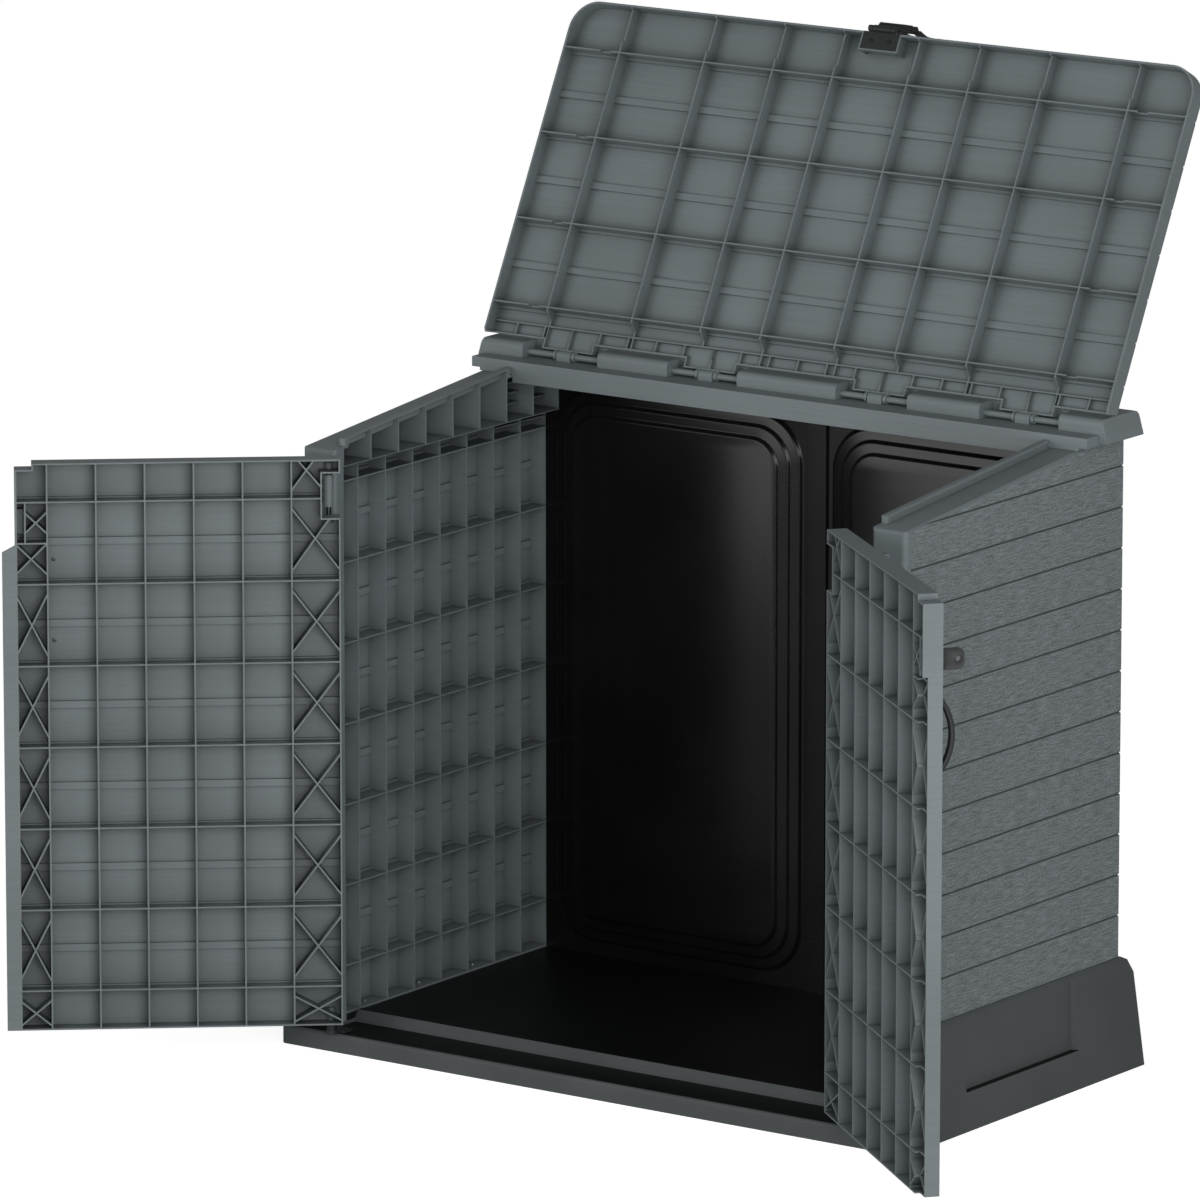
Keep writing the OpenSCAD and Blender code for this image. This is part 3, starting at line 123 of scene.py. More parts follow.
# %% A material and the method that adds its nodes
class Finish:
    """A material whose nodes are added by one method."""

    def __init__(self, name):
        self.material = bpy.data.materials.new(name)
        self.start(self.material)

    def start(self, owner):
        """Empties the node tree of a material or a world."""
        owner.use_nodes = True
        self.tree = owner.node_tree
        self.tree.nodes.clear()

    def node(self, kind, inputs=None, output=0, **settings):
        """Adds a node and returns one of its outputs as a wire. An output node has none to return."""
        made = self.tree.nodes.new(kind)
        for key, value in settings.items():
            setattr(made, key, value)
        by_id = {socket.identifier: socket for socket in made.inputs}
        for key, value in (inputs or {}).items():
            socket = by_id[key] if key in by_id else made.inputs[key]
            if isinstance(value, Wire):
                self.tree.links.new(value.socket, socket)
            else:
                socket.default_value = value
        return Wire(self, made.outputs[output]) if len(made.outputs) else None

    def place(self):
        """Where a point lies, in the object's own metres."""
        return self.node("ShaderNodeTexCoord", output="Object")

    def looks(self, direction):
        """How far a point of the surface looks in a direction, from -1 to 1."""
        return self.dot(self.node("ShaderNodeTexCoord", output="Normal"), direction)

    def dot(self, vector, direction):
        """How far a point lies along a direction."""
        return self.node("ShaderNodeVectorMath", {0: vector, 1: direction}, output="Value",
                         operation="DOT_PRODUCT")

    def step(self, value, low, high):
        """0 below low, 1 above high and smooth between them."""
        return self.node("ShaderNodeMapRange", {"Value": value, "From Min": low, "From Max": high},
                         interpolation_type="SMOOTHSTEP")

    def noise(self, vector, scale, detail=2.0, roughness=0.5):
        return self.node("ShaderNodeTexNoise",
                         {"Vector": vector, "Scale": scale, "Detail": detail, "Roughness": roughness})

    def streaks(self, x, y, z, detail, roughness):
        """Noise at a point that was stretched beforehand."""
        return self.noise(self.node("ShaderNodeCombineXYZ", {"X": x, "Y": y, "Z": z}), 1.0, detail, roughness)

    def mix(self, factor, first, second):
        """A colour between two colours."""
        return self.node("ShaderNodeMix", {"Factor_Float": factor, "A_Color": first, "B_Color": second},
                         output=2, data_type="RGBA")

    def soft_edges(self, radius):
        """Normals that turn round an edge as if it were rounded."""
        return self.node("ShaderNodeBevel", {"Radius": radius}, samples=4)

    def bump(self, strength, distance, height, normal):
        return self.node("ShaderNodeBump", {
            "Strength": strength, "Distance": distance, "Height": height, "Normal": normal})

    def close(self, sockets):
        """Adds the plastic or metal shader with its sockets, and the output."""
        shader = self.node("ShaderNodeBsdfPrincipled", sockets)
        self.node("ShaderNodeOutputMaterial", {"Surface": shader})
        return self.material


print("finishes can be made")

# %% [markdown]
# ## Floor
#
# The object stands alone on white. A curved backdrop would hide the horizon as in a studio, but the camera looks
# down far enough that one plain pale plane fills the picture. It keeps the shadow, and a little light of its own
# that only the camera sees makes it white, so that no lamp has to be turned up for it.

# %% Floor
WHITE = (1.0, 1.0, 1.0, 1.0)
PALE = (0.80, 0.80, 0.80, 1.0)
OWN_GLOW = 0.80


def pale_floor():
    """A matt floor that the camera sees as white wherever no shadow falls."""
    finish = Finish("pale_floor")
    seen = finish.node("ShaderNodeLightPath", output="Is Camera Ray")
    matt = finish.node("ShaderNodeBsdfDiffuse", {"Color": PALE})
    glow = finish.node("ShaderNodeEmission", {"Color": WHITE, "Strength": seen * OWN_GLOW})
    both = finish.node("ShaderNodeAddShader", {0: matt, 1: glow})
    finish.node("ShaderNodeOutputMaterial", {"Surface": both})
    return finish.material


floor_mesh = bpy.data.meshes.new("floor")
bm = bmesh.new()
bmesh.ops.create_grid(bm, x_segments=1, y_segments=1, size=60.0)
bm.to_mesh(floor_mesh)
bm.free()
floor_mesh.materials.append(pale_floor())
floor = bpy.data.objects.new("floor", floor_mesh)
bpy.context.scene.collection.objects.link(floor)
print("floor laid at height 0")

# %% [markdown]
# ## Surroundings
#
# Light comes from the whole room as well as from the lamps. One even grey would flatten the ribs, so the room
# here is brighter at the horizon than overhead: fronts stay lighter than tops, as on the real shed. An image of a
# room would do this too, but it would have to be read from disk.

# %% World
HORIZON_LEVEL = 0.45
OVERHEAD_LEVEL = 0.26


class Sky(Finish):
    """The surroundings, wired with the same method as a finish."""

    def __init__(self, name):
        self.world = bpy.data.worlds.new(name)
        self.start(self.world)


sky = Sky("studio")
bpy.context.scene.world = sky.world
seen_by_camera = sky.node("ShaderNodeLightPath", output="Is Camera Ray")
direction = sky.node("ShaderNodeTexCoord", output="Generated")
height = sky.node("ShaderNodeSeparateXYZ", {"Vector": direction}, output="Z")
level = sky.node("ShaderNodeMapRange", {
    "Value": height, "From Min": 0.0, "From Max": 0.8, "To Min": HORIZON_LEVEL, "To Max": OVERHEAD_LEVEL})
backdrop = sky.node("ShaderNodeBackground", {"Strength": level + seen_by_camera * (1.0 - level)})
sky.node("ShaderNodeOutputWorld", {"Surface": backdrop})
print(f"sky from {HORIZON_LEVEL} at the horizon to {OVERHEAD_LEVEL} overhead")

# %% [markdown]
# ## Soft boxes
#
# Two large square lamps stand at the front. The stronger one is on the right, so the free edge of the right door
# becomes the brightest face, and the other one fills the inner sides of the doors. Small lamps or a sun would be
# as bright, but would draw a hard shadow behind every rib.

# %% Soft boxes
BOX_SIZE = 5.0
AIM = Vector((0.0, 0.0, 0.8))
SOFT_BOXES = [("key_box", Vector((5.2, -4.9, 2.3)), 300.0),
              ("front_box", Vector((-4.5, -8.0, 2.2)), 205.0)]


def soft_box(name, place, power):
    """A square lamp that faces the middle of the shed."""
    lamp = bpy.data.lights.new(name, "AREA")
    lamp.shape = "SQUARE"
    lamp.size = BOX_SIZE
    lamp.energy = power
    holder = bpy.data.objects.new(name, lamp)
    holder.location = place
    holder.rotation_euler = (AIM - place).to_track_quat("-Z", "Y").to_euler()
    bpy.context.scene.collection.objects.link(holder)


for name, place, power in SOFT_BOXES:
    soft_box(name, place, power)
print(f"{len(SOFT_BOXES)} soft boxes")

# %% [markdown]
# ## Moulded grey plastic
#
# Walls, doors, lid and beam are one satin grey polypropylene. Up close it isn't even: colour and gloss drift a
# little over a hand's width, and faint lines from the mould run along each panel. A painted image could show
# this, but noise on object coordinates has no seams and keeps the same scale on each panel.

# %% Colour, gloss and height of the grey
GREY_DARK = (0.148, 0.174, 0.182, 1.0)
GREY_LIGHT = (0.190, 0.221, 0.231, 1.0)
LINES_ALONG = 2.5
LINES_ACROSS = 190.0


def grey_base(finish, along=(1.0, 0.0, 0.0), across=(0.0, 0.0, 1.0)):
    """Colour, gloss and height of the plain moulded plastic, with faint mould lines along a direction."""
    place = finish.place()
    drift = finish.noise(place, 3.1)
    speck = finish.noise(place, 420.0, 1.0)
    lines = finish.streaks(finish.dot(place, along) * LINES_ALONG, finish.dot(place, across) * LINES_ACROSS,
                           drift * 3.0, 2.0, 0.6)
    tone = finish.step(drift * 0.55 + lines * 0.30 + speck * 0.15, 0.30, 0.72)
    colour = finish.mix(tone, GREY_DARK, GREY_LIGHT)
    gloss = 0.44 + drift * 0.10 + speck * 0.06
    height = lines * 0.7 + speck * 0.3
    return place, colour, gloss, height


print("grey plastic mixed")

# %% [markdown]
# ## Edges and corners, with painted highlights and shade
#
# The edges of ribs catch the light because a mould never leaves them sharp. Rounding thousands of CAD edges in
# the mesh would cost millions of faces, so the finish turns the normals there with a Bevel node. Where these
# normals part from the real ones there is an edge. Ambient occlusion tells an outward edge, on which a pale
# highlight is painted, from an inward seam, on which dark shade is painted, and it also paints shade into the
# corners of the cells.

# %% Edges and corners of the grey, with painted highlights and shade
EDGE_ROUND = 0.0012
OPEN_WITHIN = 0.06
# Colours of the painted highlight on outward edges and of the painted shade in corners and seams.
EDGE_HIGHLIGHT_GREY = (0.36, 0.41, 0.43, 1.0)
CORNER_SHADE_GREY = (0.058, 0.068, 0.072, 1.0)
SEAM_SHADE_GREY = (0.045, 0.053, 0.056, 1.0)


def painted_edge_light_and_shade(finish, colour):
    """Rounds the normals at edges, paints a highlight on the outward edges and paints shade into corners and
    seams.
    """
    rounded = finish.soft_edges(EDGE_ROUND)
    normal = finish.node("ShaderNodeNewGeometry", output="Normal")
    turned = finish.step(1.0 - finish.dot(rounded, normal), 0.01, 0.16)
    open_air = finish.node("ShaderNodeAmbientOcclusion", {"Distance": OPEN_WITHIN}, output="AO", samples=4,
                           only_local=True)
    outward = finish.step(open_air, 0.66, 0.90)
    # Painted shade: corners darken wherever ambient occlusion finds other faces close by.
    colour = finish.mix(finish.step(open_air, 0.05, 0.80), CORNER_SHADE_GREY, colour)
    # Painted highlight: outward edges, where the normals turn and the air is open, are paled.
    colour = finish.mix(turned * outward * 0.60, colour, EDGE_HIGHLIGHT_GREY)
    # Painted shade: inward seams, where the normals turn and the air is closed, are darkened.
    colour = finish.mix(turned * (1.0 - outward) * 0.90, colour, SEAM_SHADE_GREY)
    return rounded, colour


def plain_skin(finish, height, rounded):
    """The faint unevenness of a moulded face."""
    return finish.bump(0.12, 0.0004, height, rounded)


def smooth_grey(name):
    finish = Finish(name)
    _, colour, gloss, height = grey_base(finish)
    rounded, colour = painted_edge_light_and_shade(finish, colour)
    return finish.close({"Base Color": colour, "Roughness": gloss,
                         "Normal": plain_skin(finish, height, rounded)})


beam_grey = smooth_grey("beam_grey")
print("smooth grey for the beam and hinges")

# %% [markdown]
# ## Wood grain on the planks
#
# The outer faces of the walls, doors and lid are moulded like planks: fine broken streaks run along each board,
# with shorter specks between them. Noise stretched some sixteen times along the board gives the streaks, and a
# less stretched one the specks. The grooves are real and come from CAD. The grain may only lie on the outer face,
# so a mask keeps it where the surface looks straight out and lies in that plane.

# %% Grey plastic with planks
GRAIN_DARK = (0.112, 0.131, 0.137, 1.0)
GRAIN_LIGHT = (0.246, 0.281, 0.292, 1.0)


def outer_face(finish, place, outward, level):
    """1 on the face that looks outward and lies at a level along that direction, 0 elsewhere."""
    facing = finish.step(finish.looks(outward), 0.90, 0.97)
    return facing * finish.step(finish.dot(place, outward), level - 0.0016, level - 0.0006)


def wood_grain(finish, place, run, rise):
    """Broken streaks along a board and shorter specks between them."""
    wander = finish.noise(place, 7.0)
    streaks = finish.streaks(run * 26.0, rise * 430.0 + wander * 9.0, 0.0, 3.0, 0.6)
    specks = finish.streaks(run * 150.0, rise * 520.0, 3.0, 2.0, 0.6)
    return finish.step(streaks * 0.55 + specks * 0.45, 0.40, 0.60)


def plank_grey(name, along, across, outward, level, start=None):
    """Grey plastic with grain on the face that looks outward; start keeps a band at one end smooth."""
    finish = Finish(name)
    place, colour, gloss, height = grey_base(finish, along, across)
    run = finish.dot(place, along)
    mask = outer_face(finish, place, outward, level)
    if start is not None:
        mask = mask * finish.step(run, start, start + 0.004)
    grain = wood_grain(finish, place, run, finish.dot(place, across))
    rounded, colour = painted_edge_light_and_shade(finish, colour)
    painted = finish.mix(mask, colour, finish.mix(grain, GRAIN_DARK, GRAIN_LIGHT))
    carved = finish.bump(0.60, 0.0008, grain * mask, plain_skin(finish, height, rounded))
    return finish.close({"Base Color": painted, "Roughness": gloss + mask * 0.10, "Normal": carved})


print("plank grain ready for each panel")

# %% [markdown]
# ## Black plastics
#
# The base is nearly black with a grained satin skin that turns dark grey where light falls on it, and shade is
# painted on its level tops, which stay much darker than its sides. The back panels are pressed from a glossy
# sheet and shine in long highlights along each terrace; their black is set darker than the sheet as painted shade
# of the shed's inside. The latch, handles and hasps are a third black, finer and a little rough from handling.
# One function with a few numbers makes all three, since only tone, gloss and skin differ, with shade painted on
# the base's tops.

# %% Black plastics
BLACK_EDGE_ROUND = 0.0016


def black_plastic(name, dark, light, rough, texture, strength, top=1.0, ior=1.45):
    """A black moulded plastic: two tones, a gloss level, how fine and deep its skin is, and how much shade is
    painted on its level tops.
    """
    finish = Finish(name)
    place = finish.place()
    drift = finish.noise(place, 4.0)
    skin = finish.noise(place, texture, 2.0, 0.6)
    colour = finish.mix(finish.step(drift * 0.7 + skin * 0.3, 0.30, 0.70), dark, light)
    # Painted shade: faces that look straight up are darkened to a share of the dark tone, set by top.
    if top < 1.0:
        shaded_top = tuple(part * top for part in dark[:3]) + (1.0,)
        colour = finish.mix(finish.step(finish.looks((0.0, 0.0, 1.0)), 0.80, 0.98), colour, shaded_top)
    grained = finish.bump(strength, 0.0003, skin, finish.soft_edges(BLACK_EDGE_ROUND))
    return finish.close({"Base Color": colour, "Roughness": rough + drift * 0.08 + skin * 0.05, "IOR": ior,
                         "Normal": grained})


# The base's level tops get painted shade at 0.07 of its dark tone.
base_black = black_plastic("base_black", (0.070, 0.078, 0.080, 1.0), (0.090, 0.099, 0.101, 1.0),
                           0.42, 700.0, 0.25, 0.07, 1.30)
# Painted shade: the panels' black is set darker than the sheet, for the shade inside the shed.
shaded_panel_black = black_plastic("shaded_panel_black", (0.005, 0.005, 0.006, 1.0), (0.009, 0.009, 0.010, 1.0),
                            0.15, 300.0, 0.06, ior=1.36)
fitting_black = black_plastic("fitting_black", (0.017, 0.019, 0.020, 1.0), (0.026, 0.028, 0.029, 1.0),
                              0.46, 1100.0, 0.30)
print("three black plastics")

# %% [markdown]
# ## Steel
#
# Screws are plated steel: a metal with fine scratches in all directions and a slightly uneven gloss. Those in the
# hasps, walls and beam are left pale. The others and the pins get a much darker tone, which on the handle screws
# is painted shade. A metal takes its colour from what it reflects, so only its tone changes between the two.

# %% Plated steel
def plated_steel(name, tone):
    finish = Finish(name)
    place = finish.place()
    scratch = finish.noise(place, 1500.0, 3.0, 0.7)
    cloud = finish.noise(place, 90.0)
    dark = (0.42 * tone, 0.43 * tone, 0.44 * tone, 1.0)
    light = (0.62 * tone, 0.63 * tone, 0.64 * tone, 1.0)
    scratched = finish.node("ShaderNodeBump", {"Strength": 0.3, "Distance": 0.0001, "Height": scratch})
    return finish.close({"Base Color": finish.mix(cloud, dark, light), "Metallic": 1.0,
                         "Roughness": 0.28 + scratch * 0.16, "Normal": scratched})


screw_steel = plated_steel("screw_steel", 1.0)
# A much darker tone; on the handle screws this darkness is painted shade.
dark_steel = plated_steel("dark_steel", 0.14)
print("pale and dark steel")

# %% [markdown]
# ## Where each panel runs
#
# The lid and doors were moulded flat and stand open here, so their grain must follow the board and not the room.
# Their directions could be typed in as numbers, but then they would be wrong once a hinge was drawn at another
# angle. They are worked out instead from how far each hinge still has to turn until it is shut.

# %% Directions of the panels
LID_SHUT = 185.4  # degrees round from the back: level would be 180, and the shut lid slopes down to the front
DOOR_FACE = 0.0005
SMOOTH_POST = 0.014
joints = {joint["name"]: joint for joint in frame["joints"]}
door_turn = -math.radians(joints["left_door_hinge"]["range_deg"][1])
lid_turn = math.radians(LID_SHUT - joints["lid_hinge"]["range_deg"][1])
up = Vector((0.0, 0.0, 1.0))
left_along = Vector((math.cos(door_turn), math.sin(door_turn), 0.0))
left_out = Vector((math.sin(door_turn), -math.cos(door_turn), 0.0))
right_along = Vector((-left_along.x, left_along.y, 0.0))
right_out = Vector((-left_out.x, left_out.y, 0.0))
lid_along = Vector((0.0, math.cos(lid_turn), math.sin(lid_turn)))
lid_out = Vector((0.0, math.sin(lid_turn), -math.cos(lid_turn)))
left_hinge = Vector(joints["left_door_hinge"]["pos_m"])
door_level = left_hinge.dot(left_out) + DOOR_FACE
lid_level = max(vert.co.dot(lid_out) for vert in nodes["lid_panel"].data.vertices)
wall_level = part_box("right_wall")[1].x
plank_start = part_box("right_wall")[0].y + SMOOTH_POST
print(f"doors turned {math.degrees(door_turn):.1f} degrees, lid {math.degrees(lid_turn):.1f} degrees")

# %% [markdown]
# ## Finishes on the CAD parts
#
# The CAD shapes are right as they are, so they only need a material. Each node's name says what it is: panels
# with planks get grain in their own direction, screws and pins get steel, and what is left is a black fitting.

# %% Give every CAD node its finish
backward = Vector((0.0, 1.0, 0.0))
rightward = Vector((1.0, 0.0, 0.0))
finishes = {
    "right_wall": plank_grey("right_wall_grey", backward, up, rightward, wall_level, plank_start),
    "left_wall": plank_grey("left_wall_grey", backward, up, -rightward, wall_level, plank_start),
    "left_door_panel": plank_grey("left_door_grey", left_along, up, left_out, door_level),
    "right_door_panel": plank_grey("right_door_grey", right_along, up, right_out, door_level),
    "lid_panel": plank_grey("lid_grey", rightward, lid_along, lid_out, lid_level),
    "floor_tray": base_black,
}
for name in ("rear_beam", "hinge_cover", "lid_hinge_pins", "upper_hinge_bracket_left",
             "upper_hinge_bracket_right"):
    finishes[name] = beam_grey
for name in ("back_panel_left", "back_panel_right", "back_joint_strip"):
    finishes[name] = shaded_panel_black
for name in nodes:
    if name.endswith("screws"):
        finishes[name] = screw_steel
    elif name.endswith("pin"):
        finishes[name] = dark_steel
    elif name not in finishes:
        finishes[name] = fitting_black
for name, material in finishes.items():
    mesh = nodes[name].data
    if not mesh.materials:
        mesh.materials.append(material)
    for slot in range(len(mesh.materials)):
        mesh.materials[slot] = material
print(f"{len(finishes)} nodes finished")

# %% [markdown]
# ## Rounded pieces in place of hard-edged ones
#
# CAD keeps the handles, hasps, latch and screws as plain solids. On the real shed they are small mouldings with
# soft edges, so each is modelled again here and rides on the same moving body. Every one ends the same way: it is
# welded, its faces are turned outward, and it is smoothed except at true creases.

# %% Closing a piece
WELD = 1e-6


def close_piece(name, bm, body, stands_for, material, crease=40.0):
    """Turns a finished bmesh into a piece that rides on a body, in place of CAD nodes if any are named."""
    bmesh.ops.remove_doubles(bm, verts=bm.verts, dist=WELD)
    bmesh.ops.recalc_face_normals(bm, faces=bm.faces)
    gaps = sum(not edge.is_manifold for edge in bm.edges)
    mesh = bpy.data.meshes.new(name)
    bm.to_mesh(mesh)
    bm.free()
    for polygon in mesh.polygons:
        polygon.use_smooth = True
    mesh.set_sharp_from_angle(angle=math.radians(crease))
    mesh.materials.append(material)
    piece = bpy.data.objects.new(name, mesh)
    bpy.context.scene.collection.objects.link(piece)
    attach(piece, body)
    if stands_for:
        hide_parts(*stands_for)
    print(f"{name}: {len(mesh.polygons)} faces, {gaps} open edges")


def soften(bm, edges, width, segments=3, sharper_than=1.0):
    """Rounds those of the edges that are sharper than an angle."""
    wanted = set(edges)
    sharp = [e for e in bm.edges if e in wanted and e.is_manifold and e.calc_face_angle(0.0) > sharper_than]
    bmesh.ops.bevel(bm, geom=sharp, offset=width, offset_type="OFFSET", segments=segments, profile=0.5,
                    affect="EDGES", clamp_overlap=True, material=-1)


# %% [markdown]
# ## Door handles
#
# Each door is pulled by a bow: a flat bar bent outward between two round feet. One rectangle spun about the bow's
# centre gives the bent bar with an even section, which extruding along a drawn curve wouldn't guarantee. Both
# doors are drawn shut around their own hinge, then turned to where they stand; the right one is mirrored.

# %% Handles
HANDLE_AT = Vector((0.525, -0.0005, 0.903))
HANDLE_HALF = 0.090
HANDLE_OUT = 0.044
BAR_THICK = 0.010
BAR_WIDE = 0.016
BAR_ROUND = 0.0034
FOOT_RADIUS = 0.011
FOOT_DEEP = 0.007
left_door_place = Matrix.Translation((left_hinge.x, left_hinge.y, 0.0)) @ Matrix.Rotation(door_turn, 4, "Z")
door_places = {"left": left_door_place,
               "right": Matrix.Diagonal((-1.0, 1.0, 1.0, 1.0)) @ left_door_place}


def handle_feet(bm):
    """The two round feet under the ends of the bow, set a hair into the door."""
    face_outward = Matrix.Rotation(math.radians(90.0), 4, "X")
    for end in (-1, 1):
        foot_at = HANDLE_AT + Vector((0.0, 0.0001 - FOOT_DEEP / 2, end * (HANDLE_HALF - FOOT_RADIUS)))
        bmesh.ops.create_cone(bm, cap_ends=True, segments=40, radius1=FOOT_RADIUS, radius2=FOOT_RADIUS,
                              depth=FOOT_DEEP, matrix=Matrix.Translation(foot_at) @ face_outward)
    soften(bm, bm.edges[:], 0.0016, 2)


def bow_handle(side):
    bm = bmesh.new()
    handle_feet(bm)
    feet = set(bm.edges)
    radius = (HANDLE_HALF ** 2 + HANDLE_OUT ** 2) / (2 * HANDLE_OUT)
    centre = HANDLE_AT + Vector((0.0, radius - HANDLE_OUT, 0.0))
    reach = math.asin((HANDLE_HALF - 0.002) / radius)
    section = Matrix.Translation((0.0, BAR_THICK / 2 - radius, 0.0)) @ Matrix.Diagonal(
        (BAR_WIDE, BAR_THICK, 1.0, 1.0))
    start = Matrix.Translation(centre) @ Matrix.Rotation(-reach, 4, "X") @ section
    made = bmesh.ops.create_grid(bm, x_segments=1, y_segments=1, size=0.5, matrix=start)
    face = made["verts"][0].link_faces[0]
    bmesh.ops.spin(bm, geom=[*face.verts, *face.edges, face], cent=centre, axis=(1.0, 0.0, 0.0),
                   angle=2 * reach, steps=28, use_duplicate=False)
    bmesh.ops.holes_fill(bm, edges=[e for e in bm.edges if e.is_boundary], sides=8)
    soften(bm, set(bm.edges) - feet, BAR_ROUND)
    bm.transform(door_places[side])
    close_piece(f"{side}_bow_handle", bm, f"{side}_door", [f"{side}_handle"], fitting_black)


for side in door_places:
    bow_handle(side)

# %% [markdown]
# ## Outline of a hasp
#
# A padlock hangs in the tab that stands out from each door's edge. The tab is a plate with two round corners and
# a hole. Cutting the hole with a boolean leaves long thin faces that don't bevel well. Here a second circle
# around the hole is pushed out until each of its points meets the outline, so the faces run evenly between them.

# %% Where the tab ends
HASP_X = (0.5935, 0.5985)
HASP_HALF = 0.020
HASP_ROOT = -0.0008
HASP_END = -0.041
HASP_CORNER = 0.014
HASP_HOLE = Vector((0.0, -0.0295, 1.059))
HASP_HOLE_RADIUS = 0.005
HASP_RING = 72


def in_tab(point):
    """Whether a point of the tab's plane lies inside its outline."""
    high = abs(point.z - HASP_HOLE.z)
    corner_y, corner_z = HASP_END + HASP_CORNER - point.y, high - HASP_HALF + HASP_CORNER
    rounded_off = corner_y > 0.0 and corner_z > 0.0 and math.hypot(corner_y, corner_z) >= HASP_CORNER
    return HASP_END < point.y < HASP_ROOT and high < HASP_HALF and not rounded_off


def tab_edge(angle):
    """The point of the tab's outline that is seen from the hole at an angle, found by halving."""
    ray = Vector((0.0, math.cos(angle), math.sin(angle)))
    near, far = 0.0, 0.06
    for _ in range(30):
        halfway = (near + far) / 2
        near, far = (halfway, far) if in_tab(ray * halfway + HASP_HOLE) else (near, halfway)
    return ray * near + HASP_HOLE


print(f"tab reaches {-tab_edge(math.pi).y * 1000:.1f} mm out")

# %% [markdown]
# ## Hasps
#
# The real tab has a raised rim all round, which stiffens a thin plate. Insetting both flat faces and sinking what
# is left gives that rim in one step, with its corners mitred. A block at the root joins the tab to the door.

# %% Hasps
RIM_WIDE = 0.0024
RIM_HIGH = 0.0011
ROOT_LONG = 0.030
ROOT_Y = (-0.0035, -0.0004)


def soft_block(bm, low, high, width):
    """A block from one corner to the other with rounded edges."""
    low, high = Vector(low), Vector(high)
    place = Matrix.Translation((low + high) / 2) @ Matrix.Diagonal((*(high - low), 1.0))
    made = bmesh.ops.create_cube(bm, size=1.0, matrix=place)
    soften(bm, {e for v in made["verts"] for e in v.link_edges}, width, 2)


def rimmed_hasp(side):
    bm = bmesh.new()
    base = Vector((HASP_X[0], 0.0, 0.0))
    on_edge = Matrix.Translation(HASP_HOLE + base) @ Matrix.Rotation(math.radians(90.0), 4, "Y")
    for _ in range(2):
        ring = bmesh.ops.create_circle(bm, segments=HASP_RING, radius=HASP_HOLE_RADIUS, matrix=on_edge)
    for vert in ring["verts"]:
        vert.co = tab_edge(math.atan2(vert.co.z - HASP_HOLE.z, vert.co.y - HASP_HOLE.y)) + base
    bmesh.ops.bridge_loops(bm, edges=bm.edges[:])
    raised = bmesh.ops.extrude_face_region(bm, geom=bm.faces[:] + bm.edges[:] + bm.verts[:])
    moved = [v for v in raised["geom"] if isinstance(v, bmesh.types.BMVert)]
    bmesh.ops.translate(bm, verts=moved, vec=(HASP_X[1] - HASP_X[0], 0.0, 0.0))
    bmesh.ops.recalc_face_normals(bm, faces=bm.faces)
    for way in (-1.0, 1.0):
        flat = [f for f in bm.faces if f.normal.x * way > 0.9]
        bmesh.ops.inset_region(bm, faces=flat, thickness=RIM_WIDE, depth=-RIM_HIGH, use_even_offset=True)
    soften(bm, bm.edges[:], 0.0005, 2)
    soft_block(bm, (HASP_X[1] - ROOT_LONG, ROOT_Y[0], HASP_HOLE.z - HASP_HALF),
               (HASP_X[1], ROOT_Y[1], HASP_HOLE.z + HASP_HALF), 0.0008)
    bm.transform(door_places[side])
    close_piece(f"{side}_rimmed_hasp", bm, f"{side}_door", [f"{side}_hasp"], fitting_black)


for side in door_places:
    rimmed_hasp(side)

# %% [markdown]
# ## Course of the latch strap
#
# The strap closes the lid over both hasps. From its hinge it rises into an arched grip with four waves for the
# fingers, then runs past a slot into a tail that narrows and droops. A curve drawn by hand could carry this
# shape, but two short functions say it plainly: how high the strap stands and how wide it is, at each place.

# %% Height and width of the strap
STRAP_HALF = 0.031
STRAP_LONG = 0.172
NECK_HALF = 0.0205
NECK_END = (0.009, 0.012)
TAIL_TAPER = 0.012
TAIL_DROOP = 0.0020
SLOT = (0.093, 0.143)
ARCH_HIGH = 0.0110
ARCH_RISE = (0.005, 0.041)
ARCH_FALL = (0.068, 0.118)
WAVES = (0.010, 0.086)
WAVE_HIGH = 0.0034
WAVE_LONG = 0.0190


def share(value, low, high):
    """How far a value has come from low to high, from 0 to 1."""
    return min(1.0, max(0.0, (value - low) / (high - low)))


def ease(value, low, high):
    """The same, with a soft start and a soft end."""
    part = share(value, low, high)
    return 3 * part ** 2 - 2 * part ** 3


def strap_height(along):
    """How high the strap's middle stands over its flat line."""
    arch = ARCH_HIGH * ease(along, *ARCH_RISE) * (1.0 - ease(along, *ARCH_FALL))
    in_waves = WAVES[0] < along < WAVES[1]
    waves = WAVE_HIGH * math.sin(2 * math.pi * (along - WAVES[0]) / WAVE_LONG) if in_waves else 0.0
    return arch + waves - TAIL_DROOP * share(along, SLOT[1], STRAP_LONG) ** 1.4


def strap_width(along):
    """Half the strap's width, narrow beside the knuckles and towards the tip."""
    widening = (STRAP_HALF - NECK_HALF) * share(along, *NECK_END)
    return NECK_HALF + widening - TAIL_TAPER * share(along, SLOT[1], STRAP_LONG) ** 1.3


print(f"grip stands {max(strap_height(k / 1000) for k in range(172)) * 1000:.1f} mm high")

# %% [markdown]
# ## Latch strap
#
# The real strap is a thin moulding whose waves show on both sides. So a flat grid is laid along that course, the
# slot's faces are taken out, and the sheet is given its thickness afterwards. Carving the waves into a solid bar
# would leave its underside flat. A barrel round the pin ends it at the hinge.

# %% Strap
STRAP_THICK = 0.0058
STRAP_BACK = math.radians(78.0)
SLOT_SHARE = 0.21
BARREL_RADIUS = 0.00645
BARREL_LONG = 0.042
latch_pin_at = Vector(joints["latch_hinge"]["pos_m"])
strap_place = Matrix.Translation((0.0, latch_pin_at.y, latch_pin_at.z)) @ Matrix.Rotation(
    lid_turn - STRAP_BACK, 4, "X")


def in_slot(point):
    """Whether a point of the unit grid falls in the strap's slot."""
    return abs(point.x) < SLOT_SHARE and SLOT[0] < (point.y + 0.5) * STRAP_LONG < SLOT[1]


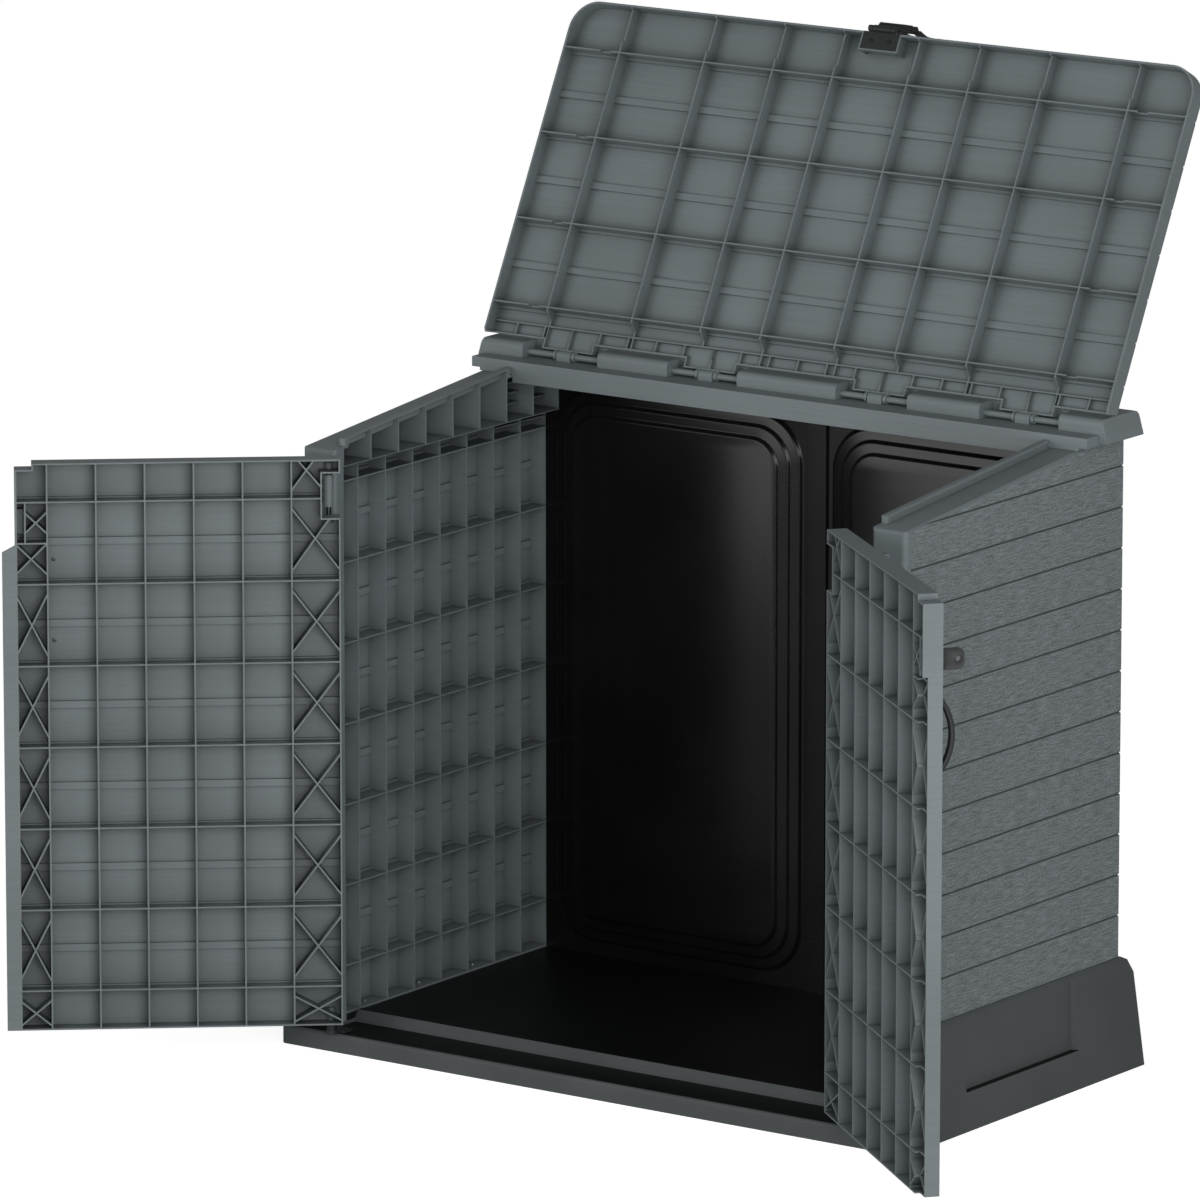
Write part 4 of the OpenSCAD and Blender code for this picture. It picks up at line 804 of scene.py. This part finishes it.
def wavy_strap():
    bm = bmesh.new()
    bmesh.ops.create_grid(bm, x_segments=24, y_segments=86, size=0.5)
    slot_faces = [face for face in bm.faces if in_slot(face.calc_center_median())]
    bmesh.ops.delete(bm, geom=slot_faces, context="FACES")
    for vert in bm.verts:
        along = (vert.co.y + 0.5) * STRAP_LONG
        vert.co = (vert.co.x * 2 * strap_width(along), along, strap_height(along))
    bmesh.ops.recalc_face_normals(bm, faces=bm.faces)
    bmesh.ops.solidify(bm, geom=bm.faces[:] + bm.edges[:] + bm.verts[:], thickness=STRAP_THICK)
    start_heights = [vert.co.z for vert in bm.verts if vert.co.y < 0.001]
    bmesh.ops.translate(bm, verts=bm.verts, vec=(0.0, 0.0, -(min(start_heights) + max(start_heights)) / 2))
    soften(bm, bm.edges[:], 0.0011, 2, 1.2)
    bmesh.ops.create_cone(bm, cap_ends=True, segments=32, radius1=BARREL_RADIUS, radius2=BARREL_RADIUS,
                          depth=BARREL_LONG, matrix=Matrix.Rotation(math.radians(90.0), 4, "Y"))
    bm.transform(strap_place)
    close_piece("wavy_strap", bm, "latch", ["latch_strap"], fitting_black)


wavy_strap()

# %% [markdown]
# ## Places of the screws
#
# A new screw head has to sit exactly where the CAD screw is. Typing the places in would repeat what CAD knows, so
# they are read from its mesh: each screw is one island of joined points, and the points at its outer end are the
# rim of its head.

# %% Finding the screws
def islands(bm):
    """Groups the points of a bmesh that are joined by edges, always in the same order."""
    waiting = set(bm.verts)
    for first in bm.verts:
        if first not in waiting:
            continue
        waiting.discard(first)
        island = [first]
        for vert in island:
            for edge in vert.link_edges:
                other = edge.other_vert(vert)
                if other in waiting:
                    waiting.discard(other)
                    island.append(other)
        yield island


def screw_places(node, outward):
    """Finds head centre, head radius and length of every screw in a CAD node."""
    bm = bmesh.new()
    bm.from_mesh(nodes[node].data)
    bmesh.ops.remove_doubles(bm, verts=bm.verts, dist=1e-5)
    found = []
    for island in islands(bm):
        heights = [vert.co.dot(outward) for vert in island]
        top = max(heights)
        rim = [vert.co for vert in island if vert.co.dot(outward) > top - 1e-4]
        centre = sum(rim, Vector()) / len(rim)
        found.append((centre, max((co - centre).length for co in rim), top - min(heights)))
    bm.free()
    return found


print(f"{len(screw_places('latch_screws', -lid_out))} screws hold the latch plate")

# %% [markdown]
# ## Screw heads
#
# The fasteners are small, but a flat disc reads as a dot and not as a screw. Each head gets a raised rim and a
# cross-shaped recess: the middle of its top face is inset, sunk and pulled into a four-pointed star. A boolean
# with a cross would work too, but it leaves thin uneven faces at so small a size.

# %% Screws
HEAD_THICK = 0.0022
NOT_PULLED = 0.42


def star(bottom):
    """Pulls a round recess into a cross: its bottom points, and those of the ring above them."""
    for vert in bottom.verts:
        turn = math.atan2(vert.co.y, vert.co.x)
        pull = NOT_PULLED + (1.0 - NOT_PULLED) * abs(math.cos(2 * turn)) ** 3
        others = [edge.other_vert(vert) for edge in vert.link_edges]
        for point in [vert] + [other for other in others if other.co.z > vert.co.z + 0.0005]:
            point.co.x *= pull
            point.co.y *= pull


def cross_head(bm, radius):
    """A low round head at the origin with a cross recess in its top."""
    head = bmesh.ops.create_cone(bm, cap_ends=True, segments=32, radius1=radius, radius2=radius * 0.98,
                                 depth=HEAD_THICK, matrix=Matrix.Translation((0.0, 0.0, -HEAD_THICK / 2)))
    faces = {face for vert in head["verts"] for face in vert.link_faces}
    top = max(faces, key=lambda face: face.calc_center_median().z)
    bmesh.ops.inset_region(bm, faces=[top], thickness=radius * 0.32, depth=0.0003)
    bmesh.ops.inset_region(bm, faces=[top], thickness=radius * 0.05, depth=-0.0012)
    star(top)


def cross_screws(node, body, outward, material):
    bm = bmesh.new()
    for centre, radius, length in screw_places(node, outward):
        earlier = set(bm.verts)
        cross_head(bm, radius)
        shank = length - 0.002
        bmesh.ops.create_cone(bm, cap_ends=True, segments=20, radius1=0.0008, radius2=0.0020, depth=shank,
                              matrix=Matrix.Translation((0.0, 0.0, -0.002 - shank / 2)))
        place = Matrix.Translation(centre) @ outward.to_track_quat("Z", "Y").to_matrix().to_4x4()
        bmesh.ops.transform(bm, matrix=place, verts=[vert for vert in bm.verts if vert not in earlier])
    close_piece(f"{node}_crossed", bm, body, [node], material, 30.0)


for node, body, outward, material in [
        ("latch_screws", "lid", -lid_out, dark_steel),
        # The handle screws take the dark steel as painted shade.
        ("left_handle_screws", "left_door", -left_out, dark_steel),
        ("right_handle_screws", "right_door", -right_out, dark_steel),
        ("left_hasp_screws", "left_door", left_out, screw_steel),
        ("right_hasp_screws", "right_door", right_out, screw_steel),
        ("lower_plate_screws", "shed", up, dark_steel),
        ("upper_bracket_screws", "shed", -backward, dark_steel)]:
    cross_screws(node, body, outward, material)

# %% [markdown]
# ## Rings of the back panels
#
# The black back is pressed from sheet, so its steps are soft waves and not ledges. Every level line of such a
# step is a rounded rectangle. A quad with its four corner points bevelled is one, and is quicker to get right
# than four arcs joined by hand.

# %% A rounded rectangle
PANEL_LOW = (0.008, 0.0453)
PANEL_HIGH = (0.6502, 1.2157)
CORNER_PARTS = 14


def rounded_ring(bm, inset, radius, y):
    """The face of one rounded rectangle, at a distance in from the panel's outline."""
    wide = PANEL_HIGH[0] - PANEL_LOW[0] - 2 * inset
    high = PANEL_HIGH[1] - PANEL_LOW[1] - 2 * inset
    middle = ((PANEL_LOW[0] + PANEL_HIGH[0]) / 2, y, (PANEL_LOW[1] + PANEL_HIGH[1]) / 2)
    place = Matrix.Translation(middle) @ Matrix.Rotation(math.radians(90.0), 4, "X") @ Matrix.Diagonal(
        (wide, high, 1.0, 1.0))
    earlier = set(bm.faces)
    made = bmesh.ops.create_grid(bm, x_segments=1, y_segments=1, size=0.5, matrix=place)
    bmesh.ops.bevel(bm, geom=made["verts"], offset=radius, offset_type="OFFSET", segments=CORNER_PARTS,
                    profile=0.5, affect="VERTICES", material=-1)
    return next(face for face in bm.faces if face not in earlier)


print(f"panel {PANEL_HIGH[0] - PANEL_LOW[0]:.3f} m wide and {PANEL_HIGH[1] - PANEL_LOW[1]:.3f} m high")

# %% [markdown]
# ## Terraces of the back panels
#
# Each step falls over eight rings in a smooth S, which catches the long highlights of the real panel. Displacing
# a fine grid would need many more faces for the same curve. Bridging can't tell the order of two rings that lie
# in one plane, so the rings are bridged while they stand apart, and then pushed to their true depth. The CAD
# sheet stays behind this skin as its backing.

# %% Back terraces
PANEL_FRONT = 0.3606
TERRACES = 3
TERRACE_IN = 0.034
TERRACE_STEP = 0.024
TERRACE_DEEP = 0.006
TERRACE_RADIUS = 0.090
RADIUS_STEP = 0.018
STEP_RINGS = 8
PROUD = 0.0008
APART = 0.010


def terrace_rings():
    """Inset, corner radius and depth of each ring, from the one sunk in the backing to the innermost."""
    yield TERRACE_IN - 0.010, TERRACE_RADIUS + 0.008, PANEL_FRONT + 0.001
    for terrace in range(TERRACES):
        inset = TERRACE_IN + terrace * TERRACE_STEP
        radius = TERRACE_RADIUS - RADIUS_STEP * terrace
        before = PANEL_FRONT - TERRACE_DEEP * terrace - (PROUD if terrace else 0.0)
        deep = TERRACE_DEEP + (0.0 if terrace else PROUD)
        for ring in range(STEP_RINGS):
            part = ring / (STEP_RINGS - 1)
            into = inset - 0.0085 + 0.009 * part
            yield into, radius + inset - into, before - deep * ease(part, 0.0, 1.0)


def pressed_back(side, way):
    bm = bmesh.new()
    rings, depths = [], []
    for order, (inset, radius, depth) in enumerate(terrace_rings()):
        rings.append(rounded_ring(bm, inset, radius, -APART * order))
        depths.append(depth)
    for first, second in zip(rings, rings[1:]):
        bmesh.ops.bridge_loops(bm, edges=[*first.edges, *second.edges])
    for ring, depth in zip(rings, depths):
        for vert in ring.verts:
            vert.co.y = depth
    bmesh.ops.delete(bm, geom=rings[1:-1], context="FACES_ONLY")
    bm.transform(Matrix.Diagonal((way, 1.0, 1.0, 1.0)))
    close_piece(f"pressed_back_{side}", bm, "shed", [], shaded_panel_black, 60.0)


pressed_back("right", 1.0)
pressed_back("left", -1.0)

# %% [markdown]
# ## Finish
#
# The Standard view shows each colour as it was written.

# %% Show each colour as written
bpy.context.scene.view_settings.view_transform = "Standard"
